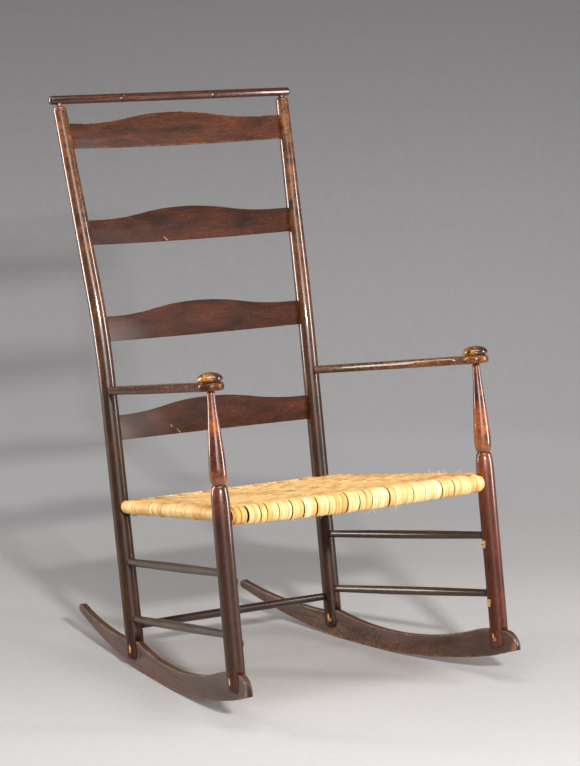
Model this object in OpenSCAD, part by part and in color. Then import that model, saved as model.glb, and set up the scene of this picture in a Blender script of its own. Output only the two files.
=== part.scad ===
// A ladder back rocking chair with turned posts, four bowed slats, a shawl bar and a woven splint seat.
// X runs to the sitter's left and right, Y runs from front to back and Z runs up from the floor.
// The joined frame is drawn upright, with its own depth and height, and then leans back on its rockers.

/* [Frame] */
// How far the whole frame leans back on its rockers, in degrees
frame_lean = 9.35; // [8.5:0.05:10]
// Front post centre to front post centre
front_spacing = 571; // [540:1:610]
// Rear post centre to rear post centre, at the foot
rear_spacing = 444; // [420:1:480]
// Front post centre to rear post centre, at the foot
frame_depth = 438; // [420:0.5:450]
// How much higher the rails and stretchers sit in the rear posts than in the front ones
rail_rise = 3.5; // [3:0.5:6]

/* [Front posts] */
// Front post diameter below the seat
front_post_d = 33; // [31:0.5:36]
// Height of the neck groove above the frame's base line
neck_height = 418; // [410:1:426]
// Diameter in the neck groove
neck_d = 21.5; // [19:0.5:23]
// Diameter of the post's shoulder just below the neck groove
shoulder_d = 24; // [23.5:0.5:27]
// Length of the post's rounded shoulder
shoulder_length = 38; // [30:1:44]
// Greatest diameter of the vase
vase_d = 31; // [28:0.5:33]
// Height of the vase's greatest diameter above the neck groove
vase_belly = 22; // [18:1:28]
// Diameter of the vase's tip under the arm
vase_tip_d = 13.6; // [12.5:0.1:15]
// Diameter of the round tenon that holds the arm and its cap
arm_post_tenon_d = 11.6; // [10:0.1:12.4]

/* [Rear posts] */
// Rear post diameter at the foot
rear_foot_d = 34; // [32:0.5:36]
// Rear post diameter at the bend
rear_bend_d = 31; // [29:0.5:32]
// Rear post diameter at the top
rear_top_d = 25; // [23:0.5:28]
// Backward rake of the lower length against the frame, in degrees
rear_rake = 1.05; // [0.5:0.05:1.8]
// Outward splay of the lower length, in degrees
rear_splay = 0.45; // [0.2:0.05:1]
// Bend of the upper length, in degrees
rear_bend = 5.75; // [5:0.05:6.5]
// Turn of the bend's plane from straight back to outward, in degrees
bend_turn = 23.5; // [18:0.5:28]
// Length of post below the bend
bend_start = 599; // [580:1:608]
// Length of post along the bend
bend_length = 180; // [140:1:200]
// Length of post from the frame's base line to the rounded top
rear_post_length = 1118; // [1110:1:1128]
// Height of the rounded top
rear_dome = 9; // [7:0.5:11]
// Diameter of the small tenon that enters the shawl bar
nib_d = 9.4; // [7:0.1:10]

/* [Slats] */
// Places of the four slats' bottom edges along the rear posts
slat_places = [495, 679, 861, 1044];
// Slat height at its ends
slat_end_height = 46; // [42:1:50]
// Slat height in the middle
slat_middle_height = 64.5; // [58:0.5:70]
// Half the length of the raised middle
slat_rise_half = 198; // [150:1:212]
// Slat thickness
slat_thickness = 6.5; // [5:0.5:8]
// How far the middle of a slat bows back
slat_bow = 20; // [12:1:28]
// Length of a slat's end inside its post
slat_seat = 11; // [8:0.5:12]

/* [Shawl bar] */
// Shawl bar diameter
bar_d = 16.5; // [15:0.5:19]
// How far the shawl bar reaches past each rear post's axis
bar_overhang = 19; // [14:0.5:30]
// Depth of the two holes for the rear posts' tenons
bar_hole_depth = 7; // [5:0.5:9]

/* [Stretchers] */
// Diameter of a stretcher's middle
stretcher_d = 16; // [15:0.5:18]
// Diameter of a stretcher where it enters a post
stretcher_end_d = 13.6; // [13.2:0.1:14.6]
// Diameter of a stretcher's tenon
tenon_d = 12.4; // [11.5:0.1:12.8]
// Height of the upper side stretchers in the frame
side_upper_height = 267; // [266:1:276]
// Height of the lower side stretchers in the frame
side_lower_height = 161; // [161:1:172]
// Height of the rear stretcher in the frame
rear_stretcher_height = 151; // [141:1:151]
// Height of the upper front stretcher's stubs
stub_upper_height = 252; // [246:1:252]
// Height of the lower front stretcher's stubs
stub_lower_height = 145; // [139:1:145]
// Diameter of the stubs of the lost front stretchers
stub_d = 14.5; // [13:0.1:15]

/* [Seat] */
// Height of the front and rear seat rails in the frame
front_rail_height = 364; // [356:0.5:366]
// How much higher the side rails sit than the front and rear ones
side_rail_rise = 5; // [2:0.5:11]
// Diameter of the front and rear rails
front_rail_d = 24; // [22:0.5:25]
// Diameter of the side rails
side_rail_d = 18; // [16:0.5:20]
// Thickness of the woven splint round a rail
splint_wrap = 3.4; // [3:0.1:4.5]

/* [Arms] */
// Height of the arm's middle in the frame
arm_height = 588; // [580:0.5:594]
// Arm thickness
arm_thickness = 15; // [13:0.5:16]
// Rounding of the arm's long edges
arm_edge = 5.5; // [4:0.5:6]
// Diameter of the round pad at the arm's front
pad_d = 48; // [44:1:52]
// Arm width at the waist behind the pad
waist_width = 40; // [36:1:43]
// Greatest arm width
arm_width = 54; // [48:1:60]
// Arm width at its rear end
arm_rear_width = 24; // [20:1:28]
// Diameter of the mushroom cap
cap_d = 46.5; // [44:0.5:50]
// Height of the cap's dome
cap_dome = 12; // [9:0.5:13]
// Height of the cap's rounded underside
cap_under = 4; // [3:0.5:5]
// Height of the ring below the cap
cap_ring = 1.5; // [1:0.5:3]
// Diameter of the ring below the cap
cap_ring_d = 37; // [33:1:40]

/* [Rockers] */
// Radius of the rocker's running edge
rocker_r = 1300; // [1200:5:1400]
// Distance from the front post back to the rocker's lowest point
rocker_low = 359; // [350:1:364]
// Rocker thickness
rocker_thickness = 13; // [11:0.5:15]
// Rocker reach before the front post
rocker_nose = 36; // [32:1:42]
// Rocker reach behind the front post
rocker_reach = 722; // [712:1:730]
// Height of the rocker's top edge over the floor at the front post
nose_top = 95.5; // [92:0.5:98]
// Height of the hollow in the rocker's top edge
scoop_height = 40; // [38:0.5:42]
// Height of the tail's top edge behind the rear post
tail_height = 45; // [43:0.5:47]
// Height of the front posts' ends over the floor
front_foot = 61; // [57:0.5:65]
// Height of the rear posts' ends over the floor
rear_foot = 17; // [14:0.5:20]
// Diameter of the pegs through posts and rockers
peg_d = 7; // [6:0.5:8]
// Height of the pegs above the posts' ends
peg_rise = 17; // [15:0.5:20]

/* [Fit] */
// Gap all round a tenon in its hole
fit = 0.12; // [0.05:0.01:0.2]
// Gap between faces that meet
seat_gap = 0.25; // [0.15:0.05:0.4]

/* [Hidden] */

WALNUT = [0.24, 0.11, 0.07];
AMBER = [0.36, 0.17, 0.09];
DUSTY = [0.27, 0.19, 0.15];
RAW_WOOD = [0.78, 0.55, 0.32];
STRAW = [0.86, 0.73, 0.47];

ROUND = 96;
LARGE_ROUND = 720;
SIDES = [-1, 1];

front_post_r = front_post_d / 2;
foot_round = 9;
tenon_depth = front_post_r - 1.5;
side_rail_height = front_rail_height + side_rail_rise;
side_rail_depth = front_post_r - tenon_d / 2 - fit - 1;
stub_proud = 0.6;
slat_pin_d = 4;
seat_corner = 12;

// The two ways of turning: the frame's own upright space, and the floor's space seen from it
module leaned() {
    translate([0, -front_post_forward, 0]) rotate([-frame_lean, 0, 0]) children();
}

module unleaned() {
    rotate([frame_lean, 0, 0]) translate([0, front_post_forward, 0]) children();
}

// Draws the +X side's piece again on the -X side
module flipped(side) {
    mirror([side < 0 ? 1 : 0, 0, 0]) children();
}

function height_in_frame(z, depth) = (z + depth * sin(frame_lean)) / cos(frame_lean);

// Points of a rear post's axis, by the length along the post
bend_r = bend_length / rear_bend * 180 / PI;
bend_end = [0, bend_r * (1 - cos(rear_bend)), bend_start + bend_r * sin(rear_bend)];

function bend_angle(s) = min(max((s - bend_start) / bend_length, 0), 1) * rear_bend;
function past_bend(s) = max(s - bend_start - bend_length, 0);
function post_local(s) = let (a = bend_angle(s), t = past_bend(s)) [
    0,
    bend_r * (1 - cos(a)) + t * sin(rear_bend),
    min(s, bend_start) + bend_r * sin(a) + t * cos(rear_bend)
];
function turn_z(p, a) = [p.x * cos(a) - p.y * sin(a), p.x * sin(a) + p.y * cos(a), p.z];
function turn_x(p, a) = [p.x, p.y * cos(a) - p.z * sin(a), p.y * sin(a) + p.z * cos(a)];
function turn_y(p, a) = [p.x * cos(a) + p.z * sin(a), p.y, p.z * cos(a) - p.x * sin(a)];
function post_place(p) = turn_y(turn_x(turn_z(p, -bend_turn), -rear_rake), rear_splay)
    + [rear_spacing / 2, frame_depth, 0];
function rear_point(s) = post_place(post_local(s));
function rear_at(u) = rear_point(u / cos(rear_rake) / cos(rear_splay));
function back_tilt(s) = let (d = rear_point(s + 1) - rear_point(s - 1)) atan2(d.y, d.z);
function side_tilt(s) = let (d = rear_point(s + 1) - rear_point(s - 1)) atan2(d.x, d.z);
function front_at(u) = [front_spacing / 2, 0, u];
function rear_rail_at(u) = rear_at(u + rail_rise);
function mirrored(p, side) = [side * p.x, p.y, p.z];

// Stands children on the line from one point to another, with the line as their own Z axis
module along(from, to) {
    d = to - from;
    translate(from) rotate([0, acos(d.z / norm(d)), atan2(d.y, d.x)]) children();
}

// A turned rod with a tapered end and a tenon in each post
module turned_rod(from, to, middle_d, end_d, from_r, to_r, depth = tenon_depth) {
    length = norm(to - from);
    start = from_r - depth;
    stop = length - to_r + depth;
    third = (length - from_r - to_r) / 3;
    along(from, to) rotate_extrude($fn = ROUND) polygon([
        [0, start], [tenon_d / 2 - 1, start], [tenon_d / 2, start + 1],
        [tenon_d / 2, from_r], [end_d / 2, from_r + seat_gap],
        [middle_d / 2, from_r + third], [middle_d / 2, length - to_r - third],
        [end_d / 2, length - to_r - seat_gap], [tenon_d / 2, length - to_r],
        [tenon_d / 2, stop - 1], [tenon_d / 2 - 1, stop], [0, stop]
    ]);
}

// The hole for a rod's tenon at its first point
module tenon_hole(from, to, post_r, hole_d = tenon_d, depth = tenon_depth) {
    along(from, to) translate([0, 0, post_r - depth - seat_gap])
        cylinder(d = hole_d + 2 * fit, h = depth + post_r, $fn = ROUND);
}

// Front posts
front_post_base = front_foot / cos(frame_lean);
arm_underside = arm_height - arm_thickness / 2;
arm_top = arm_height + arm_thickness / 2;
cap_hole_depth = cap_ring + cap_under + 3;
vase_length = arm_underside - 1.6 - neck_height;
vase_steps = 22;

function shoulder_r(t) = shoulder_d / 2 + (front_post_d - shoulder_d) / 2 * sqrt(1 - pow(1 - t, 2));
function vase_below(t) = neck_d / 2 + (vase_d - neck_d) / 2 * sqrt(1 - pow(1 - t, 2));
function vase_above(t) = vase_tip_d / 2 + (vase_d - vase_tip_d) / 2 * pow(cos(90 * pow(t, 0.8)), 1.35);

module front_post_turning() {
    shoulder = [for (i = [0:10]) [shoulder_r(1 - i / 10), neck_height - shoulder_length * (1 - i / 10)]];
    lower_vase = [for (i = [0:9]) [vase_below(i / 9), neck_height + 1.5 + (vase_belly - 1.5) * i / 9]];
    upper_vase = [for (i = [1:vase_steps]) [
        vase_above(i / vase_steps),
        neck_height + vase_belly + (vase_length - vase_belly) * i / vase_steps
    ]];
    top = arm_top + cap_hole_depth - 1;
    foot = [for (a = [0:15:90]) [
        front_post_r - foot_round + foot_round * sin(a),
        front_post_base + foot_round * (1 - cos(a))
    ]];
    rotate_extrude($fn = ROUND) polygon(concat(
        [[0, front_post_base]], foot, shoulder, [[neck_d / 2, neck_height + 0.7]],
        lower_vase, upper_vase,
        [[arm_post_tenon_d / 2, arm_underside - 1.2], [arm_post_tenon_d / 2, top - 1]],
        [[arm_post_tenon_d / 2 - 1, top], [0, top]]
    ));
}

module front_post(side) {
    foot = mirrored(front_at(0), side);
    color(WALNUT) leaned() difference() {
        translate(foot) front_post_turning();
        unleaned() rocker_shape(side, seat_gap);
        unleaned() rocker_peg_shape(side, "front", fit);
        side_hole(side, side_upper_height, tenon_depth);
        side_hole(side, side_lower_height, tenon_depth);
        side_hole(side, side_rail_height, side_rail_depth);
        cross_hole(side, front_rail_height, tenon_d);
        cross_hole(side, stub_upper_height, stub_d);
        cross_hole(side, stub_lower_height, stub_d);
    }
}

module side_hole(side, h, depth) {
    tenon_hole(mirrored(front_at(h), side), mirrored(rear_rail_at(h), side), front_post_r, depth = depth);
}

module cross_hole(side, h, hole_d) {
    tenon_hole(mirrored(front_at(h), side), mirrored(front_at(h), -side), front_post_r, hole_d);
}

// Rear posts
rear_post_base = height_in_frame(rear_foot, frame_depth);
upper_length = rear_post_length - bend_start - bend_length;

function rear_r(s) = s < bend_start
    ? rear_foot_d / 2 + (rear_bend_d - rear_foot_d) / 2 * s / bend_start
    : rear_bend_d / 2 + (rear_top_d - rear_bend_d) / 2 * past_bend(s) / upper_length;

module rear_post_stick() {
    r0 = rear_r(rear_post_base);
    lower = [for (a = [0:15:90]) [
        r0 - foot_round + foot_round * sin(a),
        rear_post_base + foot_round * (1 - cos(a))
    ]];
    dome = [for (a = [0:10:70]) [
        rear_top_d / 2 * cos(a),
        upper_length + rear_dome * sin(a)
    ]];
    nib_top = upper_length + rear_dome + bar_d / 2 + bar_hole_depth / 2;
    lap = 3 / bend_r * 180 / PI;
    rotate([0, 0, -bend_turn]) {
        rotate_extrude($fn = ROUND) polygon(concat(
            [[0, rear_post_base]], lower, [[rear_bend_d / 2, bend_start], [0, bend_start]]
        ));
        translate([0, bend_r, bend_start]) rotate([90, 0, -90]) rotate([0, 0, -lap])
            rotate_extrude(angle = rear_bend + 2 * lap, $fn = LARGE_ROUND)
            translate([bend_r, 0]) circle(d = rear_bend_d - 0.1, $fn = ROUND);
        translate(bend_end) rotate([-rear_bend, 0, 0]) rotate_extrude($fn = ROUND) polygon(concat(
            [[0, 0], [rear_bend_d / 2, 0]], dome,
            [[nib_d / 2, upper_length + rear_dome], [nib_d / 2, nib_top], [0, nib_top]]
        ));
    }
}

module rear_post(side) {
    color(AMBER) leaned() flipped(side) difference() {
        translate([rear_spacing / 2, frame_depth, 0]) rotate([-rear_rake, rear_splay, 0]) rear_post_stick();
        unleaned() rocker_shape(1, seat_gap);
        unleaned() rocker_peg_shape(1, "rear", fit);
        for (h = [side_upper_height, side_lower_height])
            tenon_hole(rear_rail_at(h), front_at(h), rear_r(h));
        tenon_hole(
            rear_rail_at(side_rail_height), front_at(side_rail_height),
            rear_r(side_rail_height), depth = side_rail_depth
        );
        for (p = [rear_at(rear_stretcher_height), rear_rail_at(front_rail_height)])
            tenon_hole(p, mirrored(p, -1), rear_r(p.z));
        tenon_hole(rear_at(arm_height), front_at(arm_height), rear_r(arm_height));
        for (s = slat_places) slat_shape(s, fit);
        slat_pin_shape(fit);
    }
}

// Slats, bowed back on an arc and cut to a raised top edge
module slat_outline(end_x, clear) {
    rise = slat_middle_height - slat_end_height;
    a = slat_rise_half;
    r = (a * a + rise * rise) / (4 * rise);
    top = slat_end_height + clear;
    translate([-end_x, -clear]) square([2 * end_x, top + clear]);
    intersection() {
        translate([0, top + rise - r]) circle(r = r, $fn = LARGE_ROUND);
        translate([-a / 2, 1]) square([a, top + rise]);
    }
    for (side = SIDES) difference() {
        translate([side > 0 ? a / 2 - 0.01 : -a, 1]) square([a / 2 + 0.01, top + rise / 2 - 1]);
        translate([side * a, top + r]) circle(r = r, $fn = LARGE_ROUND);
    }
}

module slat_shape(s, clear) {
    p = rear_point(s + slat_end_height / 2);
    foot = rear_point(s);
    tilt = back_tilt(s + slat_end_height / 2);
    bow_r = (p.x * p.x + slat_bow * slat_bow) / (2 * slat_bow);
    end_x = p.x - rear_r(s) + slat_seat + clear;
    half = slat_thickness / 2 + clear;
    translate([0, foot.y, foot.z]) rotate([-tilt, 0, 0]) intersection() {
        translate([0, slat_bow + 20, 0]) rotate([90, 0, 0]) linear_extrude(slat_bow + 40)
            slat_outline(end_x, clear);
        translate([0, slat_bow - bow_r, -5]) difference() {
            cylinder(r = bow_r + half, h = slat_middle_height + 10, $fn = LARGE_ROUND);
            translate([0, 0, -1])
                cylinder(r = bow_r - half, h = slat_middle_height + 12, $fn = LARGE_ROUND);
        }
    }
}

module slat(number) {
    color(WALNUT) leaned() difference() {
        slat_shape(slat_places[4 - number], 0);
        if (number == 1) for (side = SIDES) flipped(side) slat_pin_shape(fit);
    }
}

// A thin peg from the back through a rear post and the top slat's end
module slat_pin_shape(clear) {
    s = slat_places[3] + slat_end_height / 2;
    p = rear_point(s);
    reach = rear_r(s);
    translate([p.x - reach + slat_seat / 2, p.y, p.z]) rotate([-back_tilt(s) - 90, 0, 0])
        cylinder(d = slat_pin_d + 2 * clear, h = reach - 2 + clear, $fn = ROUND);
}

module slat_pins() {
    color(RAW_WOOD) leaned() for (side = SIDES) flipped(side) slat_pin_shape(0);
}

// Shawl bar
bar_axis = rear_post_length + rear_dome + bar_d / 2;
bar_length = 2 * (rear_point(bar_axis).x + bar_overhang);

module shawl_bar() {
    p = rear_point(bar_axis);
    hole_length = bar_axis - rear_post_length + bar_hole_depth / 2 + seat_gap;
    color(AMBER) leaned() difference() {
        translate([-bar_length / 2, p.y, p.z]) rotate([0, 90, 0])
            rotate_extrude($fn = ROUND) polygon(concat(
                [[0, 0]],
                [for (a = [0:15:90]) [bar_d / 2 * sin(a), bar_d / 3 * (1 - cos(a))]],
                [for (a = [90:-15:0]) [bar_d / 2 * sin(a), bar_length - bar_d / 3 * (1 - cos(a))]],
                [[0, bar_length]]
            ));
        for (side = SIDES) along(mirrored(rear_point(rear_post_length), side), mirrored(p, side))
            cylinder(d = nib_d + 2 * fit, h = hole_length, $fn = ROUND);
    }
}

// Stretchers, and the stubs left in the front posts
module side_stretcher(side, height) {
    color(DUSTY) leaned() turned_rod(
        mirrored(front_at(height), side), mirrored(rear_rail_at(height), side),
        stretcher_d, stretcher_end_d, front_post_r, rear_r(height)
    );
}

module rear_stretcher() {
    h = rear_stretcher_height;
    color(WALNUT) leaned() turned_rod(
        mirrored(rear_at(h), -1), rear_at(h), stretcher_d, stretcher_end_d, rear_r(h), rear_r(h)
    );
}

module stretcher_stub(side, height) {
    color(RAW_WOOD) leaned() along(mirrored(front_at(height), side), mirrored(front_at(height), -side))
        translate([0, 0, front_post_r - tenon_depth])
        cylinder(d = stub_d, h = tenon_depth + stub_proud, $fn = ROUND);
}

// Seat rails and the woven seat round them
module seat_rail(from, to, d, from_r, to_r, depth = tenon_depth) {
    color(AMBER) leaned() turned_rod(from, to, d, tenon_d + 2, from_r, to_r, depth);
}

module seat_rail_front() {
    h = front_rail_height;
    seat_rail(mirrored(front_at(h), -1), front_at(h), front_rail_d, front_post_r, front_post_r);
}

module seat_rail_rear() {
    p = rear_rail_at(front_rail_height);
    seat_rail(mirrored(p, -1), p, front_rail_d, rear_r(p.z), rear_r(p.z));
}

module seat_rail_side(side) {
    h = side_rail_height;
    seat_rail(
        mirrored(front_at(h), side), mirrored(rear_rail_at(h), side),
        side_rail_d, front_post_r, rear_r(h), side_rail_depth
    );
}

// The skin round four rails: the roll of splint on each, drawn tight between them
module seat_skin(grow, inset) {
    front = front_at(front_rail_height);
    rear = rear_rail_at(front_rail_height);
    side_front = front_at(side_rail_height);
    side_rear = rear_rail_at(side_rail_height);
    hull() {
        for (p = [front, rear]) along(mirrored(p - [inset, 0, 0], -1), p - [inset, 0, 0])
            cylinder(d = front_rail_d + 2 * grow, h = 2 * (p.x - inset), $fn = 36);
        for (side = SIDES) along(mirrored(side_front, side), mirrored(side_rear, side))
            cylinder(d = side_rail_d + 2 * grow, h = norm(side_rear - side_front), $fn = 36);
    }
}

module woven_seat() {
    h = side_rail_height;
    notch = 60;
    color(STRAW) leaned() difference() {
        seat_skin(splint_wrap, seat_corner);
        seat_skin(seat_gap, seat_corner);
        for (side = SIDES) {
            translate(mirrored(front_at(h - notch), side))
                cylinder(r = front_post_r + seat_gap, h = 2 * notch, $fn = ROUND);
            along(mirrored(rear_at(h - notch), side), mirrored(rear_at(h + notch), side))
                cylinder(r = rear_r(h - notch) + seat_gap, h = 2 * notch, $fn = ROUND);
        }
    }
}

// Arms: flat boards with rounded edges, a round pad at the front and a tenon into the rear post
module rounded_disc(d) {
    flat = d / 2 - arm_edge;
    straight = arm_thickness / 2 - arm_edge;
    rotate_extrude($fn = 40) polygon(concat(
        [[0, -arm_thickness / 2]],
        [for (a = [-90:22.5:0]) [flat + arm_edge * cos(a), -straight + arm_edge * sin(a)]],
        [for (a = [0:22.5:90]) [flat + arm_edge * cos(a), straight + arm_edge * sin(a)]],
        [[0, arm_thickness / 2]]
    ));
}

module arm(side) {
    from = front_at(arm_height);
    to = rear_at(arm_height);
    turn = atan2(from.x - to.x, to.y - from.y);
    length = norm(to - from) - rear_r(arm_height) - seat_gap;
    waist = pad_d * 0.95;
    widest = length * 0.42;
    rear_end = length - arm_rear_width / 2;
    color(WALNUT) leaned() flipped(side) difference() {
        union() {
            translate(from) rotate([0, 0, turn]) {
                hull() {
                    rounded_disc(pad_d);
                    translate([0, 6, 0]) rounded_disc(pad_d - 2);
                }
                hull() {
                    rounded_disc(waist_width - 4);
                    translate([0, waist, 0]) rounded_disc(waist_width);
                }
                hull() {
                    translate([0, waist, 0]) rounded_disc(waist_width);
                    translate([0, widest, 0]) rounded_disc(arm_width);
                }
                hull() {
                    translate([0, widest, 0]) rounded_disc(arm_width);
                    translate([0, rear_end, 0]) rounded_disc(arm_rear_width);
                }
            }
            along(to, from) translate([0, 0, rear_r(arm_height) - tenon_depth])
                cylinder(d = tenon_d, h = tenon_depth + arm_rear_width / 2, $fn = ROUND);
        }
        translate([from.x, from.y, arm_underside - 1])
            cylinder(d = arm_post_tenon_d + 2 * fit, h = arm_thickness + 2, $fn = ROUND);
    }
}

module arm_cap(side) {
    r = cap_d / 2;
    color(AMBER) leaned() translate(mirrored(front_at(arm_top + 0.05), side)) difference() {
        rotate_extrude($fn = ROUND) polygon(concat(
            [[0, 0], [cap_ring_d / 2, 0], [cap_ring_d / 2 - 1.2, cap_ring]],
            [for (a = [-75:15:0]) [r - 3.5 + 3.5 * cos(a), cap_ring + cap_under + cap_under * sin(a)]],
            [for (a = [7.5:7.5:90]) [r * cos(a), cap_ring + cap_under + cap_dome * sin(a)]]
        ));
        translate([0, 0, -1]) cylinder(d = arm_post_tenon_d + 2 * fit, h = cap_hole_depth + 1, $fn = ROUND);
    }
}

// Rockers, drawn in the upright plane through a front and a rear post's foot
function rear_foot_point() = let (u = height_in_frame(0, frame_depth), p = rear_at(u)) [
    p.x, p.y * cos(frame_lean) + p.z * sin(frame_lean)
];
rocker_turn = atan2(front_spacing / 2 - rear_foot_point().x, rear_foot_point().y);
rear_post_reach = rear_foot_point().y / cos(rocker_turn);
front_post_forward = (rocker_reach - rocker_nose) / 2 * cos(rocker_turn);
run_centre = [rocker_low, rocker_r];
nose_r = 30;
nose_centre = [nose_r - rocker_nose, nose_top - nose_r];
crown_r = 251.5;
scoop_before_post = 143;
shoulder_height = 53;
tail_r = 7.5;
tail_centre = let (x = rocker_reach - tail_r) [
    x, rocker_r - sqrt(pow(rocker_r - tail_r, 2) - pow(x - rocker_low, 2))
];
tail_flat_end = rear_post_reach + 93.4;

// Radii that let each arc run smoothly into the next one
scoop_r = let (across = rear_post_reach - scoop_before_post - nose_centre.x, down = nose_top - scoop_height)
    (across * across + down * down) / (2 * down) - crown_r;
scoop_centre = [rear_post_reach - scoop_before_post, scoop_height + scoop_r];
rear_flat_start = min(
    scoop_centre.x + sqrt(pow(scoop_r, 2) - pow(scoop_centre.y - shoulder_height, 2)),
    rear_post_reach - 4
);
crown_centre = [nose_centre.x, nose_top - crown_r];
tail_scoop_r = let (d = tail_centre - [tail_flat_end, tail_height])
    (d.x * d.x + d.y * d.y - tail_r * tail_r) / (2 * (tail_r + d.y));
tail_scoop_centre = [tail_flat_end, tail_height + tail_scoop_r];

function angle_to(from, to) = atan2(to.y - from.y, to.x - from.x);
function below(a) = a > 0 ? a - 360 : a;
// An arc without its first point, which is the last one of the arc before it
function arc(centre, r, from, to, steps) = [
    for (i = [1:steps]) let (a = from + (to - from) * i / steps) centre + r * [cos(a), sin(a)]
];
// The angle, seen from the first circle's centre, of the lower point where two circles cross
function crossing(c1, r1, c2, r2) = let (d = norm(c2 - c1))
    angle_to(c1, c2) + acos((d * d + r1 * r1 - r2 * r2) / (2 * d * r1));

// The rocker from the side, grown all round by a clearance: front post at zero, a round nose, a crown over the
// front post, a long hollow, a flat under the rear post and a thin tail
function rocker_outline(clear) = let (
    nose_start = crossing(nose_centre, nose_r + clear, run_centre, rocker_r + clear),
    nose_end = crossing(run_centre, rocker_r + clear, nose_centre, nose_r + clear),
    crown_end = angle_to(crown_centre, scoop_centre),
    scoop_end = -acos((rear_flat_start - scoop_centre.x) / (scoop_r - clear)),
    tail_end = angle_to(run_centre, tail_centre),
    tail_top = angle_to(tail_centre, tail_scoop_centre)
) concat(
    arc(nose_centre, nose_r + clear, nose_start, 90, 16),
    arc(crown_centre, crown_r + clear, 90, crown_end, 8),
    arc(scoop_centre, scoop_r - clear, crown_end - 180, scoop_end, 26),
    [
        [rear_post_reach, shoulder_height + clear],
        [rear_post_reach, tail_height + clear],
        [tail_flat_end, tail_height + clear]
    ],
    arc(tail_scoop_centre, tail_scoop_r - clear, -90, tail_top - 180, 12),
    arc(tail_centre, tail_r + clear, tail_top, tail_end, 12),
    arc(run_centre, rocker_r + clear, tail_end, -90, 22),
    arc(run_centre, rocker_r + clear, -90, below(nose_end), 22)
);
module rocker_shape(side, clear) {
    translate([side * front_spacing / 2, -front_post_forward, 0]) rotate([0, 0, side * rocker_turn])
        translate([rocker_thickness / 2 + clear, 0, 0]) rotate([90, 0, 90]) mirror([0, 0, 1])
        linear_extrude(rocker_thickness + 2 * clear) polygon(rocker_outline(clear));
}

module rocker(side) {
    color(DUSTY) difference() {
        rocker_shape(side, 0);
        rocker_peg_shape(side, "front", fit);
        rocker_peg_shape(side, "rear", fit);
    }
}

// Pegs through the two cheeks of a post and the rocker between them
module rocker_peg_shape(side, place, clear) {
    reach = place == "front" ? front_post_base * sin(frame_lean) : rear_post_reach;
    height = (place == "front" ? front_foot : rear_foot) + peg_rise;
    half = front_post_r - 0.6;
    translate([side * front_spacing / 2, -front_post_forward, 0]) rotate([0, 0, side * rocker_turn])
        translate([-half - clear, reach, height]) rotate([0, 90, 0])
        cylinder(d = peg_d + 2 * clear, h = 2 * (half + clear), $fn = ROUND);
}

module rocker_peg(side, place) {
    color(RAW_WOOD) rocker_peg_shape(side, place, 0);
}

front_post(-1);  // front_post_left
front_post(1);  // front_post_right
rear_post(-1);  // rear_post_left
rear_post(1);  // rear_post_right
slat(1);  // slat_1
slat(2);  // slat_2
slat(3);  // slat_3
slat(4);  // slat_4
slat_pins();
shawl_bar();
arm(-1);  // arm_left
arm(1);  // arm_right
arm_cap(-1);  // arm_cap_left
arm_cap(1);  // arm_cap_right
seat_rail_front();
seat_rail_rear();
seat_rail_side(-1);  // seat_rail_left
seat_rail_side(1);  // seat_rail_right
woven_seat();
side_stretcher(-1, side_upper_height);  // side_stretcher_upper_left
side_stretcher(1, side_upper_height);  // side_stretcher_upper_right
side_stretcher(-1, side_lower_height);  // side_stretcher_lower_left
side_stretcher(1, side_lower_height);  // side_stretcher_lower_right
rear_stretcher();
stretcher_stub(-1, stub_upper_height);  // stretcher_stub_upper_left
stretcher_stub(1, stub_upper_height);  // stretcher_stub_upper_right
stretcher_stub(-1, stub_lower_height);  // stretcher_stub_lower_left
stretcher_stub(1, stub_lower_height);  // stretcher_stub_lower_right
rocker(-1);  // rocker_left
rocker(1);  // rocker_right
rocker_peg(-1, "front");  // rocker_peg_front_left
rocker_peg(1, "front");  // rocker_peg_front_right
rocker_peg(-1, "rear");  // rocker_peg_rear_left
rocker_peg(1, "rear");  // rocker_peg_rear_right
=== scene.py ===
# %% [markdown]
# # A ladder back rocking chair in old varnish, with a woven splint seat
# The chair's solids come ready made and in place, in metres, with z upwards. This lesson gives them their
# looks. The posts and the bar are turned again on a lathe, the other wood is a dressed copy of the solids,
# and all of it gets old varnish. The seat is woven here strip by strip, because a weave is the one thing that
# a plain solid can't show.

# %% Load the frame
import random
from math import atan2, cos, degrees, pi, radians, sin, sqrt

import bmesh
import bpy
import numpy as np
from mathutils import Matrix, Vector


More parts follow.
